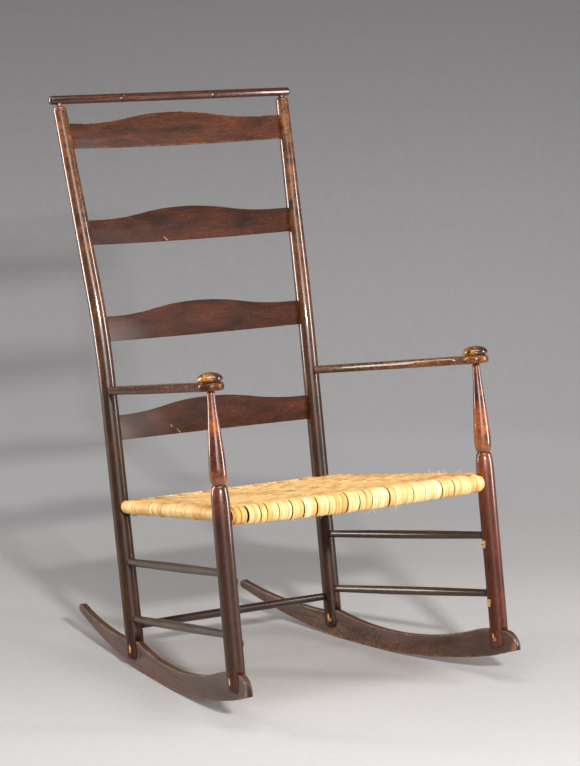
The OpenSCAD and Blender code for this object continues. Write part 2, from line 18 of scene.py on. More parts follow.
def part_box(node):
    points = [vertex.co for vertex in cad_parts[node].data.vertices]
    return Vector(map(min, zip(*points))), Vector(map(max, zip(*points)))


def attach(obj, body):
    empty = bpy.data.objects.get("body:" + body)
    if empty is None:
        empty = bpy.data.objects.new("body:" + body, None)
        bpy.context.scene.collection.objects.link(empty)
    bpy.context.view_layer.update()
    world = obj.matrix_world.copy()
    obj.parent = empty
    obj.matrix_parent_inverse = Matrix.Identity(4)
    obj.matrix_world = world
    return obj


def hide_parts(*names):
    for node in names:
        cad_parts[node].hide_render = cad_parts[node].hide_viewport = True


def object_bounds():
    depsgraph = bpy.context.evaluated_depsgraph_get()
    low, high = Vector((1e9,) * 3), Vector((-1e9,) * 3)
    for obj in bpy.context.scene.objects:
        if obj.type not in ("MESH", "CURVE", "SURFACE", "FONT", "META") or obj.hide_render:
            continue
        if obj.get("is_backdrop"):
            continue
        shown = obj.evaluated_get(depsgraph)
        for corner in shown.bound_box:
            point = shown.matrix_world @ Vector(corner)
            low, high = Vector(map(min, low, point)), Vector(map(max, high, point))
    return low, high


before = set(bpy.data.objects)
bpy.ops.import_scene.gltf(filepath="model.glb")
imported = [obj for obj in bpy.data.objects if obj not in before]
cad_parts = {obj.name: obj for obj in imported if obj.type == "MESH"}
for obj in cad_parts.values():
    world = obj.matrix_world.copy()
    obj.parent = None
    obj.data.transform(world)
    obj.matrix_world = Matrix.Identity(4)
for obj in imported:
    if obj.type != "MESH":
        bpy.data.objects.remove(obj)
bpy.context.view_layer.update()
X_AXIS, Y_AXIS, Z_AXIS = Vector((1, 0, 0)), Vector((0, 1, 0)), Vector((0, 0, 1))

# %% [markdown]
# ## The camera
# The photograph was taken from the front left, about 5.3 metres away and 1.4 metres up, looking down a
# little. A camera is a place and three directions: to the right, upwards, and backwards, out of the picture.
# They are the columns of its matrix. A long lens keeps the chair's lines nearly parallel, as the photograph
# shows them.

# %% Camera
def placed(name, data):
    """A new object in the scene."""
    made = bpy.data.objects.new(name, data)
    bpy.context.scene.collection.objects.link(made)
    return made


camera_data = bpy.data.cameras.new("camera")
camera_data.sensor_fit = "VERTICAL"
camera_data.sensor_height = 36
camera_data.lens = 137.607
camera_data.clip_end = 60
camera = placed("camera", camera_data)
bpy.context.scene.camera = camera

eye = Vector((-2.9390, -4.40925, 1.38363))
ahead = Vector((0.553203, 0.817686, -0.159237)).normalized()
right = Vector((0.828519, -0.559954, 0.002972))
right = (right - ahead * right.dot(ahead)).normalized()
above = right.cross(ahead)
turn = Matrix((right, above, -ahead)).transposed()
camera.matrix_world = Matrix.Translation(eye) @ turn.to_4x4()
print("camera", [round(v, 2) for v in eye], "metres to the chair:", round((eye - Z_AXIS / 2).length, 2))

# %% [markdown]
# ## The studio
# The chair stands on a pale paper sweep that runs up into a grey wall. A plane is the floor, and its far edge
# is pulled up into a wall. Smooth shading carries the light softly over the fold between them, and the paint
# that follows has the same grey on both sides of it, so that no line shows behind the chair. The sweep is
# turned to face the camera. It belongs to the stage and isn't a part of the chair. Operators act on all that
# is selected, so two helpers come first: one selects a single object, and one puts an object's place, turn
# and size into its mesh.

# %% The sweep of floor and wall
def only(piece):
    """Select this object and nothing else."""
    bpy.ops.object.select_all(action="DESELECT")
    piece.select_set(True)
    bpy.context.view_layer.objects.active = piece


def settle(piece):
    """Move the object's place, turn and size into its mesh, so that the object sits at the origin."""
    only(piece)
    bpy.ops.object.transform_apply(location=True, rotation=True, scale=True)


floor_size, floor_middle, wall_height = (16, 11, 1), (0, -2.9, -0.0006), 5
facing = atan2(ahead.x, ahead.y)
bpy.ops.mesh.primitive_plane_add(size=1, location=(0, 0, 0))
sweep = bpy.context.object
sweep.name = "studio_sweep"
sweep.scale = floor_size
sweep.location = floor_middle
settle(sweep)
bpy.ops.object.mode_set(mode="EDIT")
bpy.ops.mesh.select_all(action="DESELECT")
for edge in bmesh.from_edit_mesh(sweep.data).edges:
    if all(vertex.co.y > 0 for vertex in edge.verts):
        edge.select_set(True)
bmesh.update_edit_mesh(sweep.data)
bpy.ops.mesh.extrude_region_move(TRANSFORM_OT_translate={"value": (0, 0, wall_height)})
bpy.ops.object.mode_set(mode="OBJECT")
sweep.rotation_euler = (0, 0, -facing)
settle(sweep)
bpy.ops.object.shade_smooth()
sweep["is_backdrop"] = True
print("sweep:", len(sweep.data.polygons), "faces, turned", round(degrees(facing), 1), "degrees")

# %% [markdown]
# ## Helpers for materials
# A material is a chain of nodes, and each node hands on a socket: a colour, a number or a vector. These
# helpers take sockets and give one back, so that a whole chain reads like a sum. Where an input stays the
# same all over the piece, a plain value is given in place of a socket.

# %% Nodes as sums of sockets
def linear(value):
    """The linear value of a grey or colour that is given as it looks on the screen, from 0 to 255."""
    value = value / 255
    return value / 12.92 if value <= 0.04045 else ((value + 0.055) / 1.055) ** 2.4


def paint(r, g, b):
    return (linear(r), linear(g), linear(b), 1)


def grey(level):
    return (level, level, level, 1)


def add(tree, kind, **values):
    """Add a node of this kind. Names that match a setting are set; the rest are given to inputs by name."""
    made = tree.nodes.new("ShaderNode" + kind)
    for name, value in values.items():
        if hasattr(made, name):
            setattr(made, name, value)
        else:
            join(value, made.inputs[name.replace("_", " ")])
    return made


def join(source, socket):
    """Lead one socket into another, or set a plain value on it."""
    if isinstance(source, bpy.types.NodeSocket):
        socket.id_data.links.new(source, socket)
    else:
        socket.default_value = source


def mapped(value, low, high, to_low=0.0, to_high=1.0):
    """Carry a value from one range over to another, held at its ends."""
    made = add(value.id_data, "MapRange", Value=value, From_Min=low, From_Max=high, To_Min=to_low,
               To_Max=to_high)
    return made.outputs["Result"]


def ramp(value, stops):
    """Turn a value into a colour by (place, colour) stops."""
    made = add(value.id_data, "ValToRGB", Fac=value)
    points = made.color_ramp.elements
    while len(points) < len(stops):
        points.new(0.5)
    for point, (place, colour) in zip(points, stops):
        point.position = place
        point.color = colour
    return made.outputs["Color"]


def noise(vector, scale, detail, roughness=0.5, distortion=0.0):
    made = add(vector.id_data, "TexNoise", Vector=vector, Scale=scale, Detail=detail, Roughness=roughness,
               Distortion=distortion)
    return made.outputs["Fac"]


def part(vector, axis):
    """One of a vector's three numbers."""
    return add(vector.id_data, "SeparateXYZ", Vector=vector).outputs[axis]


def reckon(operation, first, second=0.0, clamp=False):
    """One sum with numbers. The first is a socket."""
    made = add(first.id_data, "Math", operation=operation, use_clamp=clamp)
    join(first, made.inputs[0])
    join(second, made.inputs[1])
    return made.outputs[0]


def vector_sum(operation, *sides):
    """One sum with vectors. The first is a socket."""
    made = add(sides[0].id_data, "VectorMath", operation=operation)
    for side, socket in zip(sides, made.inputs):
        join(side, socket)
    return made.outputs["Value" if operation in ("LENGTH", "DOT_PRODUCT") else "Vector"]


def mixed(factor, first, second, blend="MIX"):
    """Mix two colours. The first is a socket."""
    made = add(first.id_data, "Mix", data_type="RGBA", blend_type=blend)
    for side, number in ((factor, 0), (first, 6), (second, 7)):
        join(side, made.inputs[number])
    return made.outputs[2]


def multiplied(colour, *layers):
    """Lay each of the layers over a colour like tinted glass."""
    for layer in layers:
        colour = mixed(1.0, colour, layer, "MULTIPLY")
    return colour


def own_place(vector, middle, turned_by=(0, 0, 0), size=(1, 1, 1)):
    """Coordinates as seen from a spot: from its middle, along its own turned axes, in its own size."""
    made = add(vector.id_data, "Mapping", vector_type="TEXTURE", Vector=vector, Location=middle,
               Rotation=turned_by, Scale=size)
    return made.outputs["Vector"]


def new_material(name, **constants):
    """A material with one Principled shader, whose constant values are set on its own sockets."""
    material = bpy.data.materials.new(name)
    material.use_nodes = True
    tree = material.node_tree
    shader = tree.nodes["Principled BSDF"]
    for socket, value in constants.items():
        shader.inputs[socket.replace("_", " ")].default_value = value
    return material, tree, shader


print("half of the screen's range is", round(linear(127.5), 3), "of its light")

# %% [markdown]
# The wall is darker at the top, and the floor is nearly white in front. One material paints both, and the fall
# of the light is painted into it: its grey follows the distance from the camera along the floor and the height
# on the wall. The paper's grain is a very faint noise. Seen from behind, the paper is clear, so that the wall
# doesn't hide the chair's back.

# %% Studio paper
paper, tree, shader = new_material("studio_paper", Roughness=0.85, Specular_IOR_Level=0.2)
place = add(tree, "TexCoord").outputs["Object"]
faced = add(tree, "Mapping", Vector=place, Rotation=(0, 0, facing)).outputs["Vector"]
# Painted light and shade: the floor grows darker away from the camera, and lighter again towards the wall.
floor_painted_light = ramp(mapped(part(faced, "Y"), -1.0, 2.3), [
    (0.0, paint(192, 189, 187)), (0.13, paint(182, 179, 177)), (0.23, paint(171, 168, 167)),
    (0.36, paint(158, 155, 154)), (0.46, paint(150, 147, 146)), (0.57, paint(139, 137, 136)),
    (0.73, paint(139, 137, 137)), (0.85, paint(145, 143, 143)), (1.0, paint(154, 152, 152)),
])
# Painted shade: the wall grows darker upwards.
wall_painted_falloff = ramp(mapped(part(faced, "Z"), 0.0, 1.5), [
    (share, grey(level)) for share, level in
    ((0.0, 1.0), (0.23, 0.89), (0.41, 0.78), (0.59, 0.64), (0.75, 0.54), (1.0, 0.46))
])
# Painted shadow of the chair: the left side of the floor and wall is darker.
painted_chair_shadow_left = mapped(part(faced, "X"), -0.6, 0.6, 0.93, 1.0)
grain = mapped(noise(place, 55.0, 4.0, 0.75), 0.3, 0.7, 0.965, 1.035)
join(multiplied(floor_painted_light, wall_painted_falloff, painted_chair_shadow_left, grain), shader.inputs["Base Color"])
one_sided = add(tree, "MixShader")
join(add(tree, "NewGeometry").outputs["Backfacing"], one_sided.inputs[0])
join(shader.outputs["BSDF"], one_sided.inputs[1])
join(add(tree, "BsdfTransparent").outputs["BSDF"], one_sided.inputs[2])
join(one_sided.outputs["Shader"], tree.nodes["Material Output"].inputs["Surface"])
sweep.data.materials.append(paper)
print("paper:", len(tree.nodes), "nodes")

# %% [markdown]
# ## The lights
# Old varnish shows its light sources as thin bright lines along every round piece. In the photograph there is
# one line on the left edge of each post and a thinner one right of its middle, so a tall softbox stands on
# either side of the chair, and a third, fainter one over the camera. A wide softbox overhead makes the seat
# bright. A small strong one high on the camera's right casts the shadows of the slats on the left of the
# wall: the smaller a light is, the sharper are its shadows. A weak, slightly warm world fills them from all
# round, and the Standard view shows the colours as they were mixed.

# %% Softboxes
def softbox(name, place, aim_height, width, height, watts):
    light = bpy.data.lights.new(name, "AREA")
    light.shape = "RECTANGLE"
    light.size, light.size_y = width, height
    light.energy = watts
    lamp = placed(name, light)
    lamp.location = place
    lamp.rotation_euler = (Vector((0, 0, aim_height)) - place).to_track_quat("-Z", "Y").to_euler()
    print(name, "at", [round(v, 2) for v in place], watts, "W")


def studio_place(across, toward, height):
    """A place across the picture, toward the camera and up, in metres from the chair's middle."""
    level = Vector((sin(facing), cos(facing), 0))
    side = Vector((cos(facing), -sin(facing), 0))
    return side * across - level * toward + Vector((0, 0, height))


softbox("overhead_softbox", studio_place(0.2, 0.9, 3.0), 0.3, 2.4, 0.8, 55)
softbox("left_softbox", studio_place(-2.6, -0.5, 1.35), 0.9, 0.55, 2.4, 80)
softbox("right_softbox", studio_place(2.5, 0.22, 1.05), 0.7, 0.4, 1.5, 48)
softbox("camera_softbox", studio_place(0.1, 5.0, 2.2), 0.6, 0.6, 2.2, 26)
softbox("key_softbox", studio_place(1.2, 4.8, 2.2), 0.5, 0.36, 0.18, 220)

world = bpy.data.worlds.new("studio_air")
bpy.context.scene.world = world
world.use_nodes = True
world.node_tree.nodes["Background"].inputs["Color"].default_value = (1.0, 0.98, 0.96, 1)
world.node_tree.nodes["Background"].inputs["Strength"].default_value = 0.16
bpy.context.scene.view_settings.view_transform = "Standard"

# %% [markdown]
# ## Node groups for old wood
# Three effects come back in every wood of the chair, so each is a group of nodes that is built once. The
# first, *wood figure*, stretches noise along the grain: long streaks, broad cloudy patches and fine pores.

# %% Wood figure
def new_group(name, takes, gives):
    """A group with named inputs and outputs. What it is given and its result are looked up by name."""
    group = bpy.data.node_groups.new(name, "ShaderNodeTree")
    for label, kind, value in takes:
        socket = group.interface.new_socket(label, in_out="INPUT", socket_type="NodeSocket" + kind)
        if value is not None:
            socket.default_value = value
    for label, kind in gives:
        group.interface.new_socket(label, in_out="OUTPUT", socket_type="NodeSocket" + kind)
    return group, group.nodes.new("NodeGroupInput").outputs, group.nodes.new("NodeGroupOutput").inputs


wood_figure, given, result = new_group(
    "wood_figure",
    [("Vector", "Vector", None), ("Stretch", "Vector", (60, 60, 3))],
    [("Streaks", "Float"), ("Clouds", "Float"), ("Pores", "Float")],
)
stretched = vector_sum("MULTIPLY", given["Vector"], given["Stretch"])
squarer = vector_sum("MULTIPLY_ADD", given["Stretch"], (0.35, 0.35, 0.35), (8, 8, 8))
cloudy = vector_sum("MULTIPLY", given["Vector"], squarer)
for label, effect in (("Streaks", noise(stretched, 1.0, 6.0, 0.68, 0.3)),
                      ("Clouds", noise(cloudy, 1.0, 5.0, 0.62, 0.6)), ("Pores", noise(stretched, 7.0, 2.0))):
    join(mapped(effect, 0.3, 0.7), result[label])
print("wood_figure:", len(wood_figure.nodes), "nodes")

# %% [markdown]
# Hands rub the varnish away on the rims of a piece first. *Edge wear* finds the rims by comparing the real
# normal with one that is rounded over a few millimetres, and noise breaks the worn rim up into patches.

# %% Edge wear
edge_wear, given, result = new_group(
    "edge_wear",
    [("Vector", "Vector", None), ("Amount", "Float", 0.5), ("Reach", "Float", 0.003)],
    [("Mask", "Float")],
)
rounded = add(edge_wear, "Bevel", samples=4, Radius=given["Reach"]).outputs["Normal"]
likeness = vector_sum("DOT_PRODUCT", rounded, add(edge_wear, "NewGeometry").outputs["Normal"])
patchy = mapped(noise(given["Vector"], 38.0, 4.0, 0.7), 0.42, 0.6)
worn = reckon("MULTIPLY", mapped(likeness, 0.97, 0.84), patchy)
join(reckon("MULTIPLY", worn, given["Amount"], clamp=True), result["Mask"])
print("edge_wear:", len(edge_wear.nodes), "nodes")

# %% [markdown]
# *Old varnish* puts the two together into a colour, a roughness and a height. The wood's colour runs from
# deep to tone along the streaks and glows in the clouds, the pores are dark, worn places show the pale wood,
# a fine mottle breaks up all of it, and a grey film of dust lies on top.

# %% Old varnish
old_varnish, given, result = new_group(
    "old_varnish",
    [
        ("Vector", "Vector", None), ("Stretch", "Vector", (60, 60, 3)),
        ("Deep", "Color", paint(34, 18, 15)), ("Tone", "Color", paint(84, 42, 28)),
        ("Glow", "Color", paint(120, 62, 30)), ("Worn", "Color", paint(196, 140, 76)),
        ("Glow Amount", "Float", 0.4), ("Edge Amount", "Float", 0.6), ("Extra Wear", "Float", 0.0),
        ("Edge Reach", "Float", 0.003), ("Dust", "Float", 0.0), ("Shine", "Float", 0.16),
    ],
    [("Color", "Color"), ("Roughness", "Float"), ("Height", "Float")],
)
figure = add(old_varnish, "Group", node_tree=wood_figure, Vector=given["Vector"],
             Stretch=given["Stretch"]).outputs
edges = add(old_varnish, "Group", node_tree=edge_wear, Vector=given["Vector"], Amount=given["Edge Amount"],
            Reach=given["Edge Reach"]).outputs
warm = mixed(figure["Streaks"], given["Deep"], given["Tone"])
warm = mixed(reckon("MULTIPLY", figure["Clouds"], given["Glow Amount"], clamp=True), warm, given["Glow"])
warm = multiplied(warm, mapped(figure["Pores"], 0.0, 1.0, 0.55, 1.0))
wear = reckon("ADD", edges["Mask"], given["Extra Wear"], clamp=True)
crackle = noise(given["Vector"], 280.0, 3.0, 0.7)
rubbed = multiplied(mixed(wear, warm, given["Worn"]), mapped(crackle, 0.36, 0.64, 0.64, 1.28))
film = reckon("MULTIPLY", figure["Clouds"], given["Dust"], clamp=True)
dust_grey = paint(108, 96, 88)
join(mixed(film, rubbed, dust_grey), result["Color"])

rough = given["Shine"]
for effect, share in ((wear, 0.3), (figure["Pores"], 0.1), (crackle, 0.16)):
    rough = reckon("ADD", rough, reckon("MULTIPLY", effect, share))
join(reckon("ADD", rough, reckon("MULTIPLY", film, 0.5), clamp=True), result["Roughness"])

raised = reckon("ADD", reckon("MULTIPLY", figure["Streaks"], 0.5), reckon("MULTIPLY", figure["Pores"], 0.25))
join(reckon("ADD", raised, figure["Clouds"]), result["Height"])
print("old_varnish:", len(old_varnish.nodes), "nodes")

# %% [markdown]
# ## One varnish for each kind of piece
# All varnishes come from one function. Three kinds of age can be added to one: *extra* is wear that grows
# along an axis, as towards a rocker's lower edge; *dull_and_shaded* makes a piece duller along an axis, as a
# post is near the floor, and paints shade on it, darker along the same axis, as on the rear posts under the
# seat; and *sides* is wear on what faces sideways, as on the rims of an arm, which clothes rub.

# %% A varnish material
def varnish(name, stretch, deep, tone, glow, bump=0.03, coat=0.6, gleam=0.4, extra=None, dull_and_shaded=None, sides=None,
            **levels):
    """extra is (axis, from, to, level, scale of the patches), dull_and_shaded is (axis, from, to, added
    roughness, darkest painted shade), and sides is (level, scale of the speckles). The levels go to the inputs
    of old_varnish."""
    material, tree, shader = new_material(name, Coat_Weight=coat, Coat_Roughness=0.06,
                                          Specular_IOR_Level=gleam)
    place = add(tree, "TexCoord").outputs["Object"]
    wear = 0.0
    if extra:
        axis, start, end, level, scale = extra
        patches = mapped(noise(place, scale, 5.0, 0.7), 0.45, 0.62)
        wear = reckon("MULTIPLY", mapped(part(place, axis), start, end, 0.0, level), patches)
    if sides:
        level, scale = sides
        looks_up = mapped(part(add(tree, "NewGeometry").outputs["Normal"], "Z"), -1.0, 1.0)
        sideways = ramp(looks_up, [(at, grey(share * level)) for at, share in (
            (0.08, 0.0), (0.2, 0.6), (0.46, 0.5), (0.56, 0.25), (0.66, 1.0), (0.84, 1.0), (0.97, 0.0))])
        speckled = mapped(noise(place, scale, 6.0, 0.75), 0.38, 0.62)
        wear = reckon("ADD", reckon("MULTIPLY", sideways, speckled), wear, clamp=True)
    levels = {key: paint(*value) if isinstance(value, tuple) else value for key, value in levels.items()}
    wood = add(tree, "Group", node_tree=old_varnish, Vector=place, Stretch=stretch, Deep=paint(*deep),
               Tone=paint(*tone), Glow=paint(*glow), Extra_Wear=wear, **levels).outputs
    colour, roughness = wood["Color"], wood["Roughness"]
    if dull_and_shaded:
        axis, start, end, level, darkest_shade = dull_and_shaded

        def fading(first, last):
            return mapped(part(place, axis), start, end, first, last)

        roughness = reckon("ADD", roughness, fading(0.0, level), clamp=True)
        join(fading(coat, coat * 0.15), shader.inputs["Coat Weight"])
        join(fading(gleam, gleam * 0.75), shader.inputs["Specular IOR Level"])
        # Painted shade: the colour is darkened along the axis, down to the darkest shade at its end.
        colour = multiplied(colour, fading(1.0, darkest_shade))
    bumped = add(tree, "Bump", Strength=bump, Distance=0.0006, Height=wood["Height"])
    join(colour, shader.inputs["Base Color"])
    join(roughness, shader.inputs["Roughness"])
    join(bumped.outputs["Normal"], shader.inputs["Normal"])
    print("material", name)
    return material


# %% [markdown]
# The grain of a post runs up, that of a slat runs across, and that of an arm or rocker runs from front to
# back. The vector *Stretch* says so: a large number is across the grain and a small one along it. The colours
# come from the photograph: the slats are red-brown, the upper posts amber, the stretchers and rockers dark
# and dusty.

# %% Varnish for posts, slats, arms, stretchers and rockers
UP, ACROSS, BACK = (75, 75, 3.5), (3.5, 75, 75), (75, 3.5, 75)
turned_gloss = dict(Glow_Amount=0.6, Edge_Amount=0.1, Shine=0.18, coat=1.0, bump=0.015)
# Each of these settings also paints shade: the posts and the slats grow darker downwards, the rear posts most,
# under the seat, and the posts also grow duller.
front_post_varnish = varnish(
    "front_post_varnish", UP, (28, 10, 6), (80, 30, 15), (136, 56, 20), dull_and_shaded=("Z", 0.42, 0.30, 0.1, 0.9),
    extra=("Z", 0.36, 0.46, 0.6, 15.0), Worn=(214, 112, 24), **turned_gloss)
rear_post_varnish = varnish(
    "rear_post_varnish", UP, (22, 12, 7), (62, 33, 13), (126, 70, 24), dull_and_shaded=("Z", 0.62, 0.42, 0.1, 0.5),
    extra=("Z", 0.50, 0.95, 0.5, 50.0), Worn=(158, 92, 38), **turned_gloss)
slat_varnish = varnish(
    "slat_varnish", ACROSS, (32, 15, 9), (62, 29, 14), (112, 56, 25), dull_and_shaded=("Z", 1.0, 0.88, 0.0, 0.66),
    gleam=0.22, coat=0.03, Glow_Amount=0.8, Shine=0.36, Edge_Amount=0.7, Worn=(206, 150, 104))
front_post_x = 0.2855
arm_varnish, cap_varnish = {}, {}
for side, middle, wear, coat in (("left", -front_post_x, 0.2, 0.15), ("right", front_post_x, 0.45, 0.5)):
    arm_varnish[side] = varnish(
        "arm_varnish_" + side, BACK, (18, 11, 8), (46, 26, 14), (104, 58, 24), coat=coat, gleam=0.2,
        extra=("Y", 0.02, -0.10, wear * 0.6, 95.0), sides=(wear, 110.0), Glow_Amount=0.45, Edge_Amount=0.5,
        Shine=0.13, Worn=(194, 116, 44))
    cap_varnish[side] = varnish(
        "cap_varnish_" + side, (30, 30, 30), (24, 14, 10), (62, 32, 19), (112, 58, 26), coat=0.9,
        extra=("X", middle - 0.001, middle - 0.018, 1.0, 30.0), Glow_Amount=0.6, Edge_Amount=0.2, Shine=0.08,
        Worn=(232, 156, 62))
stretcher_varnish = varnish(
    "stretcher_varnish", BACK, (28, 18, 11), (68, 45, 28), (104, 70, 40), coat=0.4, Dust=0.12, Shine=0.24)
rear_stretcher_varnish = varnish(
    "rear_stretcher_varnish", ACROSS, (22, 13, 9), (50, 30, 20), (76, 46, 28), coat=0.4, Dust=0.1)
rocker_varnish = varnish(
    "rocker_varnish", BACK, (30, 17, 11), (76, 43, 28), (112, 64, 38), coat=0.2,
    extra=("Z", 0.045, 0.0, 0.35, 150.0), Dust=0.16, Shine=0.36, Edge_Amount=1.0, Edge_Reach=0.006,
    Worn=(176, 116, 62))
peg_varnish = varnish("peg_varnish", (180, 20, 20), (90, 52, 26), (176, 110, 56), (222, 160, 90),
                      Edge_Amount=0.3)
hidden_rail_wood = varnish("hidden_rail_wood", ACROSS, (30, 18, 13), (50, 31, 21), (66, 43, 28), coat=0.0,
                           Shine=0.6)
broken_wood = varnish("broken_wood", (220, 220, 220), (190, 118, 58), (244, 182, 108), (253, 214, 148),
                      bump=0.9, coat=0.0, Shine=0.6, Edge_Amount=0.0)

# %% [markdown]
# Two nicks go round the bar, dark and without gloss. In the material they are two narrow bands along the
# bar's length, made by a ramp with steep sides; the same bands take the coat away.

# %% Varnish for the bar, with its nicks
bar_varnish = varnish("bar_varnish", ACROSS, (30, 13, 9), (76, 34, 20), (118, 60, 30), Edge_Amount=0.0,
                      Worn=(22, 14, 12))
tree = bar_varnish.node_tree
bar_reach = 0.27
along_bar = mapped(part(add(tree, "TexCoord").outputs["Object"], "X"), -bar_reach, bar_reach)
black, white = grey(0), grey(1)
nick_bands = ramp(along_bar, [(0.283, black), (0.286, white), (0.292, white), (0.295, black),
                              (0.661, black), (0.664, white), (0.669, white), (0.672, black)])
join(nick_bands, tree.nodes["Group"].inputs["Extra Wear"])
join(mapped(nick_bands, 0.0, 1.0, 0.6, 0.0), tree.nodes["Principled BSDF"].inputs["Coat Weight"])
print("bar_varnish has now", len(tree.nodes), "nodes")

# %% [markdown]
# Two slats have short pale scratches near their lower edges. A scratch is a narrow band in the slats'
# material: the coordinates are shifted to its middle and turned along it, and a point lies in the scratch
# when it is close enough to both axes.

# %% Scratches on the slats
tree = slat_varnish.node_tree
place = add(tree, "TexCoord").outputs["Object"]
scratch_half_width = 0.0007
scratch_places = ((-0.0500, 0.7712, 42, 0.0105), (-0.0745, 0.4178, 50, 0.0105), (-0.0560, 0.4105, -30, 0.006),
                  (-0.0900, 0.4290, 60, 0.005))
scratches = 0.0
for x, z, turned_by, length in scratch_places:
    scratch = own_place(place, (x, 0, z), (0, radians(turned_by), 0))
    near = [mapped(reckon("ABSOLUTE", part(scratch, axis)), half * 1.3, half * 0.8)
            for axis, half in (("X", length / 2), ("Z", scratch_half_width))]
    scratches = reckon("ADD", reckon("MULTIPLY", *near), scratches, clamp=True)
join(scratches, tree.nodes["Group"].inputs["Extra Wear"])
print("scratches:", len(scratch_places))

# %% [markdown]
# Round the end of each rocker peg the varnish is rubbed through in a short upright streak, and the left front
# leg is darker than the right one. A grey patch is painted on the left ends of the lower slats, and painted
# shade darkens each broken stub on the side where it lies deeper in its hole, under the hole's rim. Such a
# spot
# is an egg shape in space: a point's distance from its middle is measured in the egg's own half widths, and a
# little noise makes its outline ragged.

# %% Rubbed and stained spots
def spots(material, colour, middles, halves, tilt=0, ragged=0.7, soft=0.3, strength=1.0):
    """Lay eggs of one colour over a material. They share their half widths and their tilt about x."""
    place = add(material.node_tree, "TexCoord").outputs["Object"]
    uneven = reckon("MULTIPLY", noise(place, 260.0, 3.0), ragged)
    rim, mask = 1.0 + 0.5 * ragged, None
    for middle in middles:
        egg = own_place(place, middle, (radians(tilt), 0, 0), halves)
        distance = reckon("ADD", vector_sum("LENGTH", egg), uneven)
        spot = mapped(distance, rim, rim - soft, 0.0, strength)
        mask = spot if mask is None else reckon("MAXIMUM", mask, spot)
    base_colour = material.node_tree.nodes["Principled BSDF"].inputs["Base Color"]
    join(mixed(mask, base_colour.links[0].from_socket, paint(*colour)), base_colour)
    print(material.name, "has", len(middles), "more spots")


def ends(node):
    """The middles of a small rod's two ends; the rod runs from side to side."""
    low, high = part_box(node)
    middle = (low + high) / 2
    return [Vector((x, middle.y, middle.z)) for x in (low.x, high.x)]


POST_LEAN = -9.35
spots(front_post_varnish, (30, 30, 22), [(-front_post_x, -0.31, 0.17)], (0.06, 0.14, 0.27), soft=0.6,
      strength=0.6)
for where, material in (("front", front_post_varnish), ("rear", rear_post_varnish)):
    peg_ends = ends(f"rocker_peg_{where}_left") + ends(f"rocker_peg_{where}_right")
    spots(material, (222, 148, 74), [end + Vector((0, 0.001, 0.004)) for end in peg_ends],
          (0.006, 0.0021, 0.0085), POST_LEAN)
spots(front_post_varnish, (140, 70, 32), [(front_post_x, -0.285, 0.335)], (0.05, 0.09, 0.15), soft=0.9,
      strength=0.2)
stub_ends = [end for side in ("left", "right") for level in ("upper", "lower")
             for end in ends(f"stretcher_stub_{level}_{side}")]
# Painted shade on the side of each stub that lies deeper in its hole.
spots(broken_wood, (58, 34, 20), [end + Vector((0, -0.0072, -0.001)) for end in stub_ends],
      (0.02, 0.0042, 0.02))
# A grey patch is painted on the left ends of the lower slats.
for middle, halves in (((-0.235, 0.2, 0.595), (0.13, 0.3, 0.05)), ((-0.235, 0.2, 0.43), (0.15, 0.3, 0.06))):
    spots(slat_varnish, (150, 138, 136), [middle], halves, ragged=0.2, soft=0.9, strength=0.3)

# %% [markdown]
# Painted shade darkens the groove under each vase and the necks under the bar. The rockers' noses are rubbed
# at both rims, and dark on the end grain between them.

# %% Painted shade in the grooves, and the rockers' noses
# Painted shade in the groove under each vase.
spots(front_post_varnish, (26, 14, 9), [(x, -0.27158, 0.41323) for x in (-front_post_x, front_post_x)],
      (0.03, 0.03, 0.0030), POST_LEAN, ragged=0.15, soft=0.5, strength=0.85)
bar_low, bar_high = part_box("shawl_bar")
neck_y, neck_z = (bar_low.y + bar_high.y) / 2 - 0.002, bar_low.z - 0.0032
# Painted shade on the necks under the bar.
spots(rear_post_varnish, (34, 20, 13), [(x, neck_y, neck_z) for x in (-0.2484, 0.2484)],
      (0.011, 0.011, 0.0036), ragged=0.2)
rocker_middles, nose_half = (-0.2905, 0.2905), 0.0068
nose_rims = [(x + edge, -0.370, 0.060) for x in rocker_middles for edge in (-nose_half, nose_half)]
spots(rocker_varnish, (164, 94, 44), nose_rims, (0.0018, 0.016, 0.026), ragged=1.0, soft=0.6, strength=0.7)
nose_faces = [(x, -0.377, 0.072) for x in rocker_middles]
spots(rocker_varnish, (16, 11, 9), nose_faces, (0.0046, 0.010, 0.024), ragged=0.4)

# %% [markdown]
# ## The wooden pieces
# Every wooden solid already has its true shape and joints. A dressed copy of it is taken: its loose triangles
# are merged, flat faces are joined again, sharp rims are eased with a narrow bevel as a scraper or sandpaper
# would do, and the round surfaces are shaded smooth. The copy stands for the solid, which stays underneath
# for the physics.
#
# A round solid is made of narrow flat faces, which would show as stripes of light. On a lathe piece no normal
# leans sideways about the axis, so whatever leans there is taken out of the normals, and the shape stays as
# it is.

# %% Take the facets out of turned wood
def own_axis(piece):
    """Two points on the long axis of a plain rod, which runs along the widest spread of its points."""
    points = np.array([v.co for v in piece.data.vertices])
    middle = points.mean(axis=0)
    along = np.linalg.eigh(np.cov((points - middle).T))[1][:, -1]
    return [Vector(middle - along), Vector(middle + along)]


def true_round(piece, axis, on_axis=0.0003, side_lean=0.4):
    """Straighten the normals about the axis, but not at points on the axis or on flats that face sideways."""
    start, along = axis[0], (axis[1] - axis[0]).normalized()
    mesh = piece.data
    normals = [corner.vector.copy() for corner in mesh.corner_normals]
    for face in mesh.polygons:
        for loop in face.loop_indices:
            outward = mesh.vertices[mesh.loops[loop].vertex_index].co - start
            outward = outward - along * outward.dot(along)
            if outward.length < on_axis:
                continue
            sideways = along.cross(outward).normalized()
            if abs(face.normal.dot(sideways)) < side_lean and normals[loop].dot(outward) > 0:
                upright = normals[loop] - sideways * normals[loop].dot(sideways)
                normals[loop] = upright.normalized()
    mesh.normals_split_custom_set(normals)


